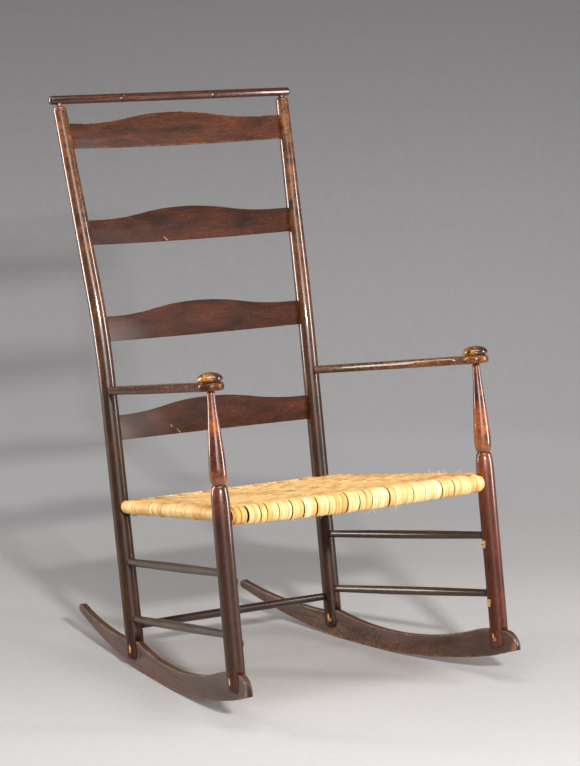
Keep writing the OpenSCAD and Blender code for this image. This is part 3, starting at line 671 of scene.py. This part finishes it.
# %% [markdown]
# Dressing has three steps, and each is a function of its own, because the lathe pieces below need the last
# one too: copy the solid, ease its edges, and finish it with smooth shading, a material and the solid that it
# stands for.

# %% Dress a copy of a solid
RIM_ANGLE = radians(38)
merge = bpy.ops.mesh.remove_doubles


def edit(piece, *steps):
    """Run each step, an operator with its settings, on the whole mesh in edit mode."""
    only(piece)
    bpy.ops.object.mode_set(mode="EDIT")
    for operator, settings in steps:
        bpy.ops.mesh.select_all(action="SELECT")
        operator(**settings)
    bpy.ops.object.mode_set(mode="OBJECT")


def modified(piece, kind, **settings):
    """Put a modifier on a piece, set it and apply it."""
    only(piece)
    modifier = piece.modifiers.new(kind, kind)
    for name, value in settings.items():
        setattr(modifier, name, value)
    bpy.ops.object.modifier_apply(modifier=modifier.name)


def solid_copy(node, name):
    piece = placed(name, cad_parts[node].data.copy())
    edit(piece, (merge, {"threshold": 0.00001}))
    return piece


def finished(piece, node, material, axis=None):
    only(piece)
    bpy.ops.object.shade_smooth_by_angle(angle=RIM_ANGLE)
    if axis:
        true_round(piece, axis)
    piece.data.materials.clear()
    piece.data.materials.append(material)
    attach(piece, "root")
    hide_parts(node)
    print(piece.name, len(piece.data.polygons), "faces")


def dressed(node, label, material, ease=0.0, flatten=True, axis=None):
    piece = solid_copy(node, node + label)
    if flatten:
        edit(piece, (bpy.ops.mesh.dissolve_limited, {"angle_limit": radians(0.3)}))
    if ease:
        modified(piece, "BEVEL", width=ease, segments=3, limit_method="ANGLE", angle_limit=RIM_ANGLE,
                 use_clamp_overlap=True)
    finished(piece, node, material, own_axis(piece) if axis == "own" else axis)


# %% [markdown]
# ## The turned posts and the bar
# A lathe piece is one profile that goes once round its axis. So the profile is drawn as a line of points,
# each at its radius and height, and Spin carries it round in 64 steps. That gives cleaner surfaces than the
# solid's loose triangles. The piece is turned upright, and then each ring is moved to its place on the post's
# axis, which also bends the rear posts, as steam does.

# %% Turn a profile on the lathe and put it on an axis
def turned_on_lathe(name, profile, axis_at, steps=64):
    """profile holds (radius, height) pairs from axis to axis; axis_at(height) gives (point, along)."""
    mesh = bpy.data.meshes.new(name)
    mesh.from_pydata([(r, 0, h) for r, h in profile], [(k, k + 1) for k in range(len(profile) - 1)], [])
    piece = placed(name, mesh)
    edit(piece, (bpy.ops.mesh.spin, {"steps": steps, "angle": 2 * pi, "center": (0, 0, 0), "axis": (0, 0, 1)}),
         (merge, {"threshold": 0.00002}), (bpy.ops.mesh.normals_make_consistent, {"inside": False}))
    for vertex in mesh.vertices:
        centre, along = axis_at(vertex.co.z)
        outward = along.orthogonal().normalized() if abs(along.x) > 0.9 else X_AXIS - along * along.x
        outward.normalize()
        vertex.co = centre + outward * vertex.co.x + along.cross(outward) * vertex.co.y
    return piece


def rounded_foot(radius, bottom, rounding=0.009, steps=6):
    """The profile of a flat foot with a rounded rim."""
    rim = [radians(90 * k / steps) for k in range(steps + 1)]
    return [(0, bottom)] + [(radius - rounding * (1 - sin(a)), bottom + rounding * (1 - cos(a))) for a in rim]


# %% [markdown]
# The turner left the front leg straight up to the seat, rounded its shoulder, cut a thin neck with a quick
# hollow, and let a vase swell out of it that narrows in a long curve to the tenon in the arm. Each stretch is
# a formula: quarter ellipses for shoulder and vase foot, and a cosine for the long curve.

# %% Profile of a front post
post_r, neck, neck_r, belly, belly_r, tip_r = 0.0165, 0.418, 0.01075, 0.440, 0.0155, 0.0068
foot, arm_under = 0.06182, 0.5789
shoulder_tall, shoulder_fall, vase_foot_tall, tenon_r, tenon_top = 0.038, 0.0045, 0.0205, 0.0058, 0.604
front_profile = rounded_foot(post_r, foot)
front_profile += [(post_r, foot + (neck - shoulder_tall - foot) * k / 8) for k in range(1, 8)]
front_profile += [(post_r - shoulder_fall * (1 - sqrt(1 - (k / 14) ** 2)), neck - shoulder_tall * (1 - k / 14))
                  for k in range(15)]
front_profile += [(neck_r, neck + 0.0006), (neck_r, neck + 0.0012)]
front_profile += [(neck_r + (belly_r - neck_r) * sqrt(1 - (1 - k / 12) ** 2),
                   neck + 0.0015 + vase_foot_tall * k / 12) for k in range(1, 13)]
front_profile += [(tip_r + (belly_r - tip_r) * cos(radians(90 * (k / 36) ** 0.8)) ** 1.35,
                   belly + (arm_under - belly) * k / 36) for k in range(1, 37)]
front_profile += [(tenon_r, arm_under + 0.0004), (tenon_r, tenon_top), (0, tenon_top)]
print("front post profile:", len(front_profile), "points")

# %% [markdown]
# The rear post is a slow taper from foot to top. It ends in a dome and a thin nib that enters the bar.

# %% Profile of a rear post
foot_r, bend_r, top_r = 0.01678, 0.0155, 0.0125
bend_start, bend_stop, post_top = 0.599, 0.779, 1.118
rear_foot, rear_straight = 0.08935, 0.099
shoulder, nib_r, nib_top = post_top - 0.0010, 0.0056, post_top + 0.0195
rear_profile = rounded_foot(foot_r, rear_foot)
rear_profile += [(foot_r + (bend_r - foot_r) * k / 12, rear_straight + (bend_start - rear_straight) * k / 12)
                 for k in range(1, 13)]
rear_profile += [(bend_r, bend_start + (bend_stop - bend_start) * k / 16) for k in range(1, 17)]
rear_profile += [(bend_r + (top_r - bend_r) * k / 10, bend_stop + (shoulder - bend_stop) * k / 10)
                 for k in range(1, 11)]
rear_profile += [(nib_r + (top_r - nib_r) * cos(radians(a)) ** 0.7, shoulder + 0.0055 * sin(radians(a)))
                 for a in range(10, 81, 10)]
rear_profile += [(nib_r + 0.0004, shoulder + 0.0058), (nib_r, shoulder + 0.0066)]
rear_profile += [(nib_r, nib_top), (0, nib_top)]
print("rear post profile:", len(rear_profile), "points")

# %% [markdown]
# The axes come from the solids: the front posts are straight and lean back; each rear post is straight up to
# the arm, turns back by less than six degrees on a long arc, and is straight again behind the slats.

# %% The axes
def straight_axis(start, end):
    along = (end - start).normalized()
    return lambda height: (start + along * height, along)


def bent_axis(foot, low, high, top):
    """Straight from foot to low, an arc to high, straight to top."""
    first, last = (low - foot).normalized(), (top - high).normalized()
    angle = first.angle(last)
    radius = (bend_stop - bend_start) / angle
    inwards = (last - first * last.dot(first)).normalized()

    def at(height):
        if height <= bend_start:
            return low + first * (height - bend_start), first
        turned = min(1.0, (height - bend_start) / (bend_stop - bend_start)) * angle
        along = first * cos(turned) + inwards * sin(turned)
        spot = low + first * radius * sin(turned) + inwards * radius * (1 - cos(turned))
        return spot + along * max(0.0, height - bend_stop), along

    print("bend of", round(degrees(angle), 2), "degrees on a radius of", round(radius, 2), "metres")
    return at


def on_side(side, x, y, z):
    return Vector((x if side == "right" else -x, y, z))


front_axis, rear_axis = {}, {}
for side in ("left", "right"):
    front_axis[side] = straight_axis(on_side(side, front_post_x, -0.339624, 0),
                                     on_side(side, front_post_x, -0.244094, 0.580188))
    rear_axis[side] = bent_axis(*(on_side(side, *place) for place in (
        (0.222, 0.0925574, -0.0711596), (0.226704, 0.200685, 0.517981), (0.231712, 0.241259, 0.6932),
        (0.247899, 0.332763, 1.01922))))

# %% [markdown]
# The foot of each post has a slot, the bridle, in which the rocker stands. A Boolean modifier cuts it with a
# copy of the rocker that is swollen by a quarter of a millimetre, the play of the real joint.

# %% Cut the bridles and finish the posts
JOINT_PLAY = 0.00025


def bridled(post, rocker_node):
    cutter = solid_copy(rocker_node, "bridle_cutter")
    edit(cutter, (bpy.ops.transform.shrink_fatten, {"value": JOINT_PLAY}))
    modified(post, "BOOLEAN", operation="DIFFERENCE", solver="EXACT", object=cutter)
    bpy.data.objects.remove(cutter)
    return post


for side in ("left", "right"):
    post = turned_on_lathe(f"front_post_{side}_turned", front_profile, front_axis[side])
    finished(bridled(post, "rocker_" + side), "front_post_" + side, front_post_varnish)
    post = turned_on_lathe(f"rear_post_{side}_bent", rear_profile, rear_axis[side])
    finished(bridled(post, "rocker_" + side), "rear_post_" + side, rear_post_varnish)

# %% [markdown]
# The bar is a plain turned rod with softly rounded ends. The two worn nicks, left by a clamp or a hanging
# cord, are shallow grooves in the same lathe profile. The bar's axis runs level, so its heights on the lathe
# become places from left to right.

# %% Shawl bar
bar_middle = (bar_low + bar_high) / 2
bar_r, bar_half, end_round, nick_deep = 0.00825, (bar_high.x - bar_low.x) / 2, 0.0055, 0.0005
dome = [(bar_r * sin(radians(a)), end_round * (1 - cos(radians(a)))) for a in range(10, 91, 10)]
bar_profile = [(0, -bar_half)] + [(r, -bar_half + inward) for r, inward in dome]
for nick in (-0.114, 0.090):
    bar_profile += [(bar_r - depth, nick + away) for away, depth in (
        (-0.006, 0), (-0.003, 0), (-0.0012, nick_deep), (0.0012, nick_deep), (0.003, 0), (0.006, 0))]
bar_profile += [(r, bar_half - inward) for r, inward in reversed(dome)] + [(0, bar_half)]
bar = turned_on_lathe("shawl_bar_turned", bar_profile,
                      lambda height: (bar_middle + Vector((height, 0, 0)), X_AXIS))
finished(bar, "shawl_bar", bar_varnish)

# %% [markdown]
# ## Slats, arms, rods and rockers
# A slat is a thin riven board, bent while it was hot. Its solid already has the bow and the arched top, so a
# dressed copy with eased edges is enough. Two whittled pins hold the top slat.

# %% Slats
for row in range(1, 5):
    dressed(f"slat_{row}", "_board", slat_varnish, ease=0.0014)
dressed("slat_pins", "_whittled", peg_varnish)

# %% [markdown]
# An arm is a flat board, narrow behind and round in front, where the post's tenon comes through. A turned cap
# sits on the tenon; its normals are straightened about the post's axis, on which it was turned.

# %% Arms and their caps
for side in ("left", "right"):
    dressed("arm_" + side, "_board", arm_varnish[side], flatten=False)
    dressed("arm_cap_" + side, "_turned", cap_varnish[side], flatten=False,
            axis=[front_axis[side](height)[0] for height in (0.5, 0.7)])

# %% [markdown]
# The stretchers are slim tapered rods, each turned about its own long axis, which is found from the spread of
# its points. Of the two front stretchers only the broken tenons are left in the posts. The seat rails are
# dressed too, although the weave hides them, so that nothing plain shows through a gap between two strips.

# %% Stretchers, broken stubs and seat rails
for side in ("left", "right"):
    for level in ("upper", "lower"):
        dressed(f"side_stretcher_{level}_{side}", "_rod", stretcher_varnish,
                axis="own")
        dressed(f"stretcher_stub_{level}_{side}", "_broken", broken_wood)
    dressed("seat_rail_" + side, "_rod", hidden_rail_wood)
dressed("rear_stretcher", "_rod", rear_stretcher_varnish, axis="own")
for where in ("front", "rear"):
    dressed("seat_rail_" + where, "_rod", hidden_rail_wood)

# %% [markdown]
# The upper stretchers broke off raggedly: a few splinters stand out of each upper stub. A splinter is a thin
# cone with five sides, pointed away from the post. All splinters of a stub are joined into one piece.

# %% Splinters
def joined(pieces, name, material, thickness=0.0):
    """Join pieces into one, give it thickness if it is made of sheets, and finish it."""
    bpy.ops.object.select_all(action="DESELECT")
    for piece in pieces:
        piece.select_set(True)
    bpy.context.view_layer.objects.active = pieces[0]
    bpy.ops.object.join()
    whole = bpy.context.object
    whole.name = name
    settle(whole)
    if thickness:
        modified(whole, "SOLIDIFY", thickness=thickness, offset=0)
        bpy.ops.object.shade_smooth_by_angle(angle=radians(50))
    whole.data.materials.append(material)
    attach(whole, "root")
    print(name, sum(len(p.vertices) - 2 for p in whole.data.polygons), "triangles")
    return whole


random.seed(3)
for side, away in (("left", 1), ("right", -1)):
    low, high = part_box("stretcher_stub_upper_" + side)
    end, middle = high.x if side == "left" else low.x, (low + high) / 2
    splinters = []
    for k in range(9):
        turned_by, out_by = random.uniform(0, 2 * pi), 0.0052 * sqrt(random.random())
        long = random.uniform(0.003, 0.0062)
        bpy.ops.mesh.primitive_cone_add(
            vertices=5, radius1=random.uniform(0.0010, 0.0019), radius2=0.0002, depth=long,
            rotation=(random.uniform(-0.25, 0.25), away * pi / 2, 0),
            location=(end + away * (long / 2 - 0.0016), middle.y + out_by * cos(turned_by),
                      middle.z + out_by * sin(turned_by)))
        splinters.append(bpy.context.object)
    joined(splinters, "stub_splinters_" + side, broken_wood)

# %% [markdown]
# A rocker is sawn from a board and stands in the bridles, where a round peg goes through it and the post's
# cheeks. Its edges are eased the most, because the floor and many feet have rubbed them.

# %% Rockers and their pegs
for side in ("left", "right"):
    dressed("rocker_" + side, "_sawn", rocker_varnish, ease=0.0016)
    for where in ("front", "rear"):
        dressed(f"rocker_peg_{where}_{side}", "_whittled", peg_varnish)

# %% [markdown]
# ## The woven seat
# Thin strips of split ash run from front to back round the front and rear rails; this is the warp. Other
# strips are woven through them from side to side and go round the side rails. Above and below, each strip
# passes over two and under two, one step further in each row, which makes a twill; in the middle the steps
# turn, as in a herringbone.
#
# The seat has its own coordinates: x across, y from the front rail to the rear one, and z away from the
# rails. The two rails' boxes give the origin and the slope, because the whole chair leans back. The strips
# make a roll round each rail: *front_roll* and *side_roll* are the radii of the rolls, and the side rails
# stand a little higher, by *side_rise*. The rear posts are *half_rear* away from the middle.

# %% The seat's coordinates
front_middle = sum(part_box("seat_rail_front"), Vector()) / 2
rear_middle = sum(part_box("seat_rail_rear"), Vector()) / 2
seat_back = (rear_middle - front_middle).normalized()
seat_up = X_AXIS.cross(seat_back)
seat_depth = (rear_middle - front_middle).length
half_rear = 0.2220
front_roll, side_roll = 0.0154, 0.0124
side_rise = 0.005
strip_thickness, roll_inset, rail_gap = 0.0011, 0.0009, 0.001
top_sag, front_hang = 0.0042, 0.0058
random.seed(7)
print("seat depth", round(seat_depth, 4), "slope", round(seat_back.z / seat_back.y, 4))


def seat_point(x, y, z):
    return front_middle + Vector((x, 0, 0)) + seat_back * y + seat_up * z


def side_line(y):
    """How far from the middle the side rail's axis is, at this distance from the front rail."""
    return front_post_x + (half_rear - front_post_x) * y / seat_depth


# %% [markdown]
# A strip follows a path that is a list of points with the direction away from the seat's inside. The height
# of the weave is a small wave: up where a strip lies on top, down where it goes below. The seat gives a
# little in the middle, where people sit, and its edges rise to the side rails.

# %% The weave's rows and columns
warp_pitch, weft_pitch, first_weft = 0.01300, 0.01305, 0.0232
half_warps, weft_count, loose_warps = 20, 31, 7
lift = 0.0008
warp_places = [i * warp_pitch + random.uniform(-0.0006, 0.0006) for i in range(-half_warps, half_warps + 1)]
weft_places = [first_weft + j * weft_pitch + random.uniform(-0.0006, 0.0006) for j in range(weft_count)]
warp_gaps = [random.uniform(0.0010, 0.0022) if i < loose_warps else
             random.choice((-0.0002, 0.0, 0.0003, 0.0006, 0.0014)) for i in range(len(warp_places))]
weft_gaps = [random.choice((0.0004, 0.0009, 0.0014, 0.0020, 0.0026)) for j in range(weft_count)]


def room(places, k):
    """How wide a strip can be before it meets its neighbours."""
    before = places[k] - places[k - 1] if k else places[1] - places[0]
    after = places[k + 1] - places[k] if k + 1 < len(places) else before
    return min(before, after)


def warp_on_top(i, j):
    """The twill: over two, under two, one step further in each row, turning at the middle strip."""
    return (j + abs(i - half_warps)) % 4 < 2


def surface_height(x, y, top):
    """Height of the cloth's middle over the rails' plane: the roll's height at the rims, less inside."""
    across = min(1.0, abs(x) / side_line(y))
    along = min(1.0, max(0.0, y / seat_depth))
    rim = across ** 6
    high = front_roll * (1 - rim) + (side_rise + side_roll) * rim
    low = -front_roll * (1 - rim) + (side_rise - side_roll) * rim
    sag, inset = top_sag * (1 - across ** 2) * sin(pi * along), 0.0012
    return high - inset - sag if top else low + inset - hang(x, y)


def hang(x, y):
    """How far the old strips hang below the rails: most in the middle of the front, nothing at the posts."""
    across = min(1.0, abs(x) / side_line(y))
    return front_hang * (1 - across ** 2) * (1 - 0.7 * min(1.0, max(0.0, y / seat_depth)))


print("warps", len(warp_places), "wefts", len(weft_places))

# %% [markdown]
# One strip is a long grid. Its points are put on the path, five across its width, with the edges a little
# lower than the middle, as a split strip dries hollow. Each strip gets a number of its own, which the
# material reads as its tint, and a map of metres along and across for its fibres. It has no thickness yet.

# %% Lay one strip along a path
def lay_strip(name, path, width, closed, tint):
    """path holds (point, outwards, sideways) for each step, in seat coordinates."""
    steps = len(path)
    across = (-0.5, -0.3, 0, 0.3, 0.5)
    bpy.ops.mesh.primitive_grid_add(x_subdivisions=len(across) - 1, y_subdivisions=steps - 1, size=1)
    piece = bpy.context.object
    piece.name = name
    ordered = sorted(piece.data.vertices, key=lambda v: (round(v.co.y, 6), round(v.co.x, 6)))
    run = 0.0
    places = {}
    for k, (point, outwards, sideways) in enumerate(path):
        if k:
            run += (point - path[k - 1][0]).length
        for m, share in enumerate(across):
            vertex = ordered[k * len(across) + m]
            hollow = -0.00034 * (2 * share) ** 2
            spot = point + sideways * (width * share) + outwards * hollow
            vertex.co = seat_point(*spot)
            places[vertex.index] = (run, share * width)
    map_of_metres = piece.data.uv_layers.active.data
    for loop in piece.data.loops:
        map_of_metres[loop.index].uv = places[loop.vertex_index]
    if closed:
        edit(piece, (merge, {"threshold": 0.00002}))
    tints = piece.data.attributes.new("tint", "FLOAT", "POINT")
    tints.data.foreach_set("value", [tint] * len(piece.data.vertices))
    return piece


def round_roll(centre, radius, start, end, steps, outward_axis):
    """Points and outward directions on a half turn round a rail. outward_axis points level off the seat."""
    made = []
    for s in range(steps + 1):
        a = start + (end - start) * s / steps
        out = outward_axis * cos(a) + Z_AXIS * sin(a)
        made.append((centre + out * radius, out))
    return made


# %% [markdown]
# A warp strip is laid in one go: along the top from the back to the front, round the front rail, back along
# the underside and round the rear rail. The strips of the two outer corners are short, because the seat is
# wider in front; they start and end where they meet the side rail.

# %% Warp strips
def weave_steps(start, stop, places):
    """Where to put points along a strip: at each crossing and halfway between two of them."""
    inside = [p for p in places if start < p < stop]
    halves = [(a + b) / 2 for a, b in zip(inside, inside[1:])]
    return sorted([start, stop] + inside + halves)


def wave(places, here, on_top):
    """1 where the strip lies on top, -1 where it is below, and in between halfway from one to the other."""
    if here <= places[0]:
        return 1.0 if on_top(0) else -1.0
    if here >= places[-1]:
        return 1.0 if on_top(len(places) - 1) else -1.0
    j = max(k for k, p in enumerate(places) if p <= here)
    share = (here - places[j]) / (places[j + 1] - places[j])
    low, high = (1.0 if on_top(k) else -1.0 for k in (j, j + 1))
    return low + (high - low) * share


def warp_path(i):
    x = warp_places[i]
    jitter = random.uniform(-0.0003, 0.0003)
    skew = random.uniform(-0.0012, 0.0012)
    slanted = random.uniform(-0.0008, 0.0026)
    to_rear = abs(x) < half_rear - post_r - 0.006
    reach = seat_depth
    if not to_rear:
        reach = max(0.03, seat_depth * (front_post_x - 0.021 - abs(x)) / (front_post_x - half_rear))
    path, side = [], X_AXIS
    ys = weave_steps(rail_gap, reach - rail_gap, weft_places)
    extra = random.choice((0.0, 0.0003, 0.0008, 0.0012))
    for y in reversed(ys):
        up = wave(weft_places, y, lambda j: warp_on_top(i, j))
        slant = skew * (1 - y / reach)
        path.append((Vector((x + jitter + slant, y, surface_height(x, y, True) + lift * up)), Z_AXIS, side))
    middle = Vector((x + jitter + skew, 0, 0))
    for point, out in round_roll(middle, front_roll - roll_inset + extra, pi / 2, 1.5 * pi, 14, Y_AXIS):
        slack = hang(x, 0) * max(0.0, -out.z)
        path.append((point + Vector((slanted * (1 - out.z) / 2, 0, -slack)), out, side))
    for y in ys:
        up = wave(weft_places, y, lambda j: not warp_on_top(i, j))
        slant = (skew + slanted) * (1 - y / reach)
        path.append((Vector((x + jitter + slant, y, surface_height(x, y, False) - lift * up)), -Z_AXIS, side))
    if to_rear:
        middle = Vector((x + jitter, seat_depth, 0))
        for point, out in round_roll(middle, front_roll - roll_inset, -pi / 2, pi / 2, 14, Y_AXIS):
            path.append((point, out, side))
        path.append(path[0])
    return path, to_rear


warp_strips = []
for i in range(len(warp_places)):
    path, whole = warp_path(i)
    width = room(warp_places, i) - warp_gaps[i]
    warp_strips.append(lay_strip(f"warp_{i}", path, width, whole, random.random()))
print("warp strips:", len(warp_strips))

# %% [markdown]
# Between the last whole strip and each front post there is room for a narrow one on the front of the roll
# only. Its ends go out of sight behind the post and under the first weft.

# %% Narrow strips at the front posts
for sign in (-1, 1):
    x = sign * (front_post_x - post_r - 0.0004)
    path = [(point, out, X_AXIS)
            for point, out in round_roll(Vector((x, 0, 0)), front_roll - 0.0024, 0.5 * pi, 1.5 * pi, 12,
                                         Y_AXIS)]
    warp_strips.append(lay_strip(f"warp_corner_{sign}", path, 0.0052, False, random.random()))

# %% [markdown]
# A weft strip goes once round the seat from side to side, over one side rail, back underneath and over the
# other.

# %% Weft strips
def weft_path(j):
    y = weft_places[j]
    edge = side_line(y)
    xs = weave_steps(rail_gap - edge, edge - rail_gap, warp_places)
    jitter = random.uniform(-0.0005, 0.0005)
    extra = random.choice((0.0, 0.0003, 0.0007, 0.0011))
    slanted = random.uniform(-0.0022, 0.0022)
    path, side = [], Y_AXIS
    for x in xs:
        up = -wave(warp_places, x, lambda i: warp_on_top(i, j)) if abs(x) < edge - 0.02 else 0.6
        path.append((Vector((x, y + jitter, surface_height(x, y, True) + lift * up)), Z_AXIS, side))
    turn_r = side_roll - roll_inset + extra
    for point, out in round_roll(Vector((edge, y + jitter, side_rise)), turn_r, pi / 2, -pi / 2, 12, X_AXIS):
        path.append((point + Vector((0, slanted * (1 - out.z) / 2, 0)), out, side))
    for x in reversed(xs):
        up = wave(warp_places, x, lambda i: not warp_on_top(i, j)) if abs(x) < edge - 0.02 else -0.6
        below = Vector((x, y + jitter + slanted, surface_height(x, y, False) + lift * up))
        path.append((below, -Z_AXIS, side))
    for point, out in round_roll(Vector((-edge, y + jitter, side_rise)), turn_r, -pi / 2, pi / 2, 12, -X_AXIS):
        path.append((point + Vector((0, slanted * (1 - out.z) / 2, 0)), out, side))
    path.append(path[0])
    return path


weft_strips = []
for j in range(len(weft_places)):
    width = room(weft_places, j) - weft_gaps[j]
    weft_strips.append(lay_strip(f"weft_{j}", weft_path(j), width, True, 0.62 * random.random()))
print("weft strips:", len(weft_strips))

# %% [markdown]
# Split ash is pale straw to gold, and no two strips are alike, so each strip's tint picks its tone. Fibres
# run along a strip: noise that is stretched in the map of metres darkens them and raises them a little. The
# rims of some strips are painted darker, a painted shade where a strip meets its neighbour, and each strip has
# one thin line where it began to split. Blots of age lie over all of it.

# %% Splint material
splint, tree, shader = new_material("splint", Specular_IOR_Level=0.4)
map_of_metres = add(tree, "UVMap").outputs["UV"]
across = part(map_of_metres, "Y")
tint = add(tree, "Attribute", attribute_name="tint").outputs["Fac"]
own_metres = vector_sum("MULTIPLY_ADD", tint, (7.3, 3.1, 5.7), map_of_metres)
fibres = noise(vector_sum("MULTIPLY", own_metres, (14, 900, 1)), 1.0, 4.0, 0.65)
tones = ramp(tint, [(0.0, paint(222, 176, 104)), (0.25, paint(238, 203, 136)), (0.7, paint(246, 216, 154)),
                    (1.0, paint(252, 234, 186))])
fibre_tone = ramp(fibres, [(0.3, paint(212, 176, 128)), (0.54, white)])
blot_tone = ramp(noise(own_metres, 22.0, 3.0), [(0.3, paint(236, 210, 168)), (0.5, white)])
# Painted shade: the rims of some strips are darker, where each strip meets its neighbour.
rim_shade_strength = ramp(tint, [(0.0, grey(1)), (0.4, grey(0.7)), (0.6, grey(0.15)), (1.0, grey(0.3))])
rim = mapped(reckon("ABSOLUTE", across), 0.0036, 0.0062, 0.0, rim_shade_strength)
rim_shade_tone = ramp(rim, [(0.0, white), (0.5, paint(248, 232, 206)), (1.0, paint(216, 172, 116))])
split_at = mapped(reckon("FRACT", reckon("MULTIPLY", tint, 37.7)), 0.0, 1.0, -0.0036, 0.0036)
split = mapped(reckon("ABSOLUTE", reckon("SUBTRACT", across, split_at)), 0.0009, 0.0003)
split_tone = ramp(split, [(0.0, white), (1.0, paint(214, 178, 128))])
join(multiplied(tones, fibre_tone, split_tone, rim_shade_tone, blot_tone), shader.inputs["Base Color"])
join(mapped(fibres, 0.0, 1.0, 0.36, 0.6), shader.inputs["Roughness"])
ridges = add(tree, "Bump", Strength=0.35, Distance=0.0004, Height=fibres)
join(ridges.outputs["Normal"], shader.inputs["Normal"])
print("splint:", len(tree.nodes), "nodes")

# %% [markdown]
# Here and there a fibre has split from its strip and stands up as a pale hair. Each is a thin three-sided tube
# along a curved line. Most of them are near the right edge and at the rear left, and a few hang under the
# front roll. They use the splint's material, so they need the same map and tint.

# %% Frayed fibres
def fibre(start, heading, length, curl):
    """A tapering three-sided hair: its rings shrink to a point along a line that curls."""
    mesh = bmesh.new()
    rings, spot, way = [], Vector(start), Vector(heading).normalized()
    steps, root_radius = 7, 0.00036
    for k in range(steps + 1):
        thick = root_radius * (1 - 0.85 * k / steps)
        side = way.orthogonal().normalized()
        corners = [spot + Matrix.Rotation(a * 2 * pi / 3, 3, way) @ side * thick for a in range(3)]
        rings.append([mesh.verts.new(seat_point(*corner)) for corner in corners])
        spot = spot + way * (length / steps)
        way = (way + Vector(curl) / steps).normalized()
    for low_ring, high_ring in zip(rings, rings[1:]):
        for a in range(3):
            mesh.faces.new((low_ring[a], low_ring[(a + 1) % 3], high_ring[(a + 1) % 3], high_ring[a]))
    mesh.faces.new(list(reversed(rings[0])))
    mesh.faces.new(rings[-1])
    data = bpy.data.meshes.new("fibre")
    mesh.to_mesh(data)
    mesh.free()
    data.uv_layers.new(name="UVMap")
    tints = data.attributes.new("tint", "FLOAT", "POINT")
    tints.data.foreach_set("value", [1.0] * len(data.vertices))
    return placed("fibre", data)


right_edge, rear_left, on_top, fibre_count = 22, 34, 50, 58
fibres_made = []
for k in range(fibre_count):
    if k < right_edge:
        y = random.gauss(0.105, 0.018)
        x = side_line(y) - random.uniform(0.002, 0.016)
    elif k < rear_left:
        x, y = random.uniform(-0.20, 0.0), random.uniform(0.30, 0.42)
    elif k < on_top:
        x, y = random.uniform(-0.24, 0.24), random.uniform(0.03, 0.30)
    else:
        x, y = random.uniform(-0.20, 0.16), -0.004
    over = k < on_top
    z = surface_height(x, y, over) + (lift if over else -0.0012)
    lifts = random.uniform(0.35, 1.1) if over else random.uniform(-1.0, -0.2)
    heading = (random.uniform(-1, 1), random.uniform(-0.8, 0.8), lifts)
    droop = 1 if over else -0.5
    curl = (random.uniform(-1.2, 1.2), random.uniform(-1, 1), random.uniform(-1.2, 0.3) * droop)
    fibres_made.append(fibre((x, y, z), heading, random.uniform(0.006, 0.017), curl))
joined(fibres_made, "seat_frayed_fibres", splint)

# %% [markdown]
# Now all the warps become one piece and all the wefts another, so that the two can be looked at by
# themselves. A Solidify modifier gives the strips their thickness, half to each side. The seat's solid is
# hidden.

# %% The finished weave
seat_warp = joined(warp_strips, "seat_warp", splint, strip_thickness)
joined(weft_strips, "seat_weft", splint, strip_thickness)
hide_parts("woven_seat")

# %% [markdown]
# ## Measure and finish
# The box round everything that is shown is measured and printed.

# %% Measure the box round everything and print it
low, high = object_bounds()
print("visual box", [round(v, 4) for v in (*low, *high)])
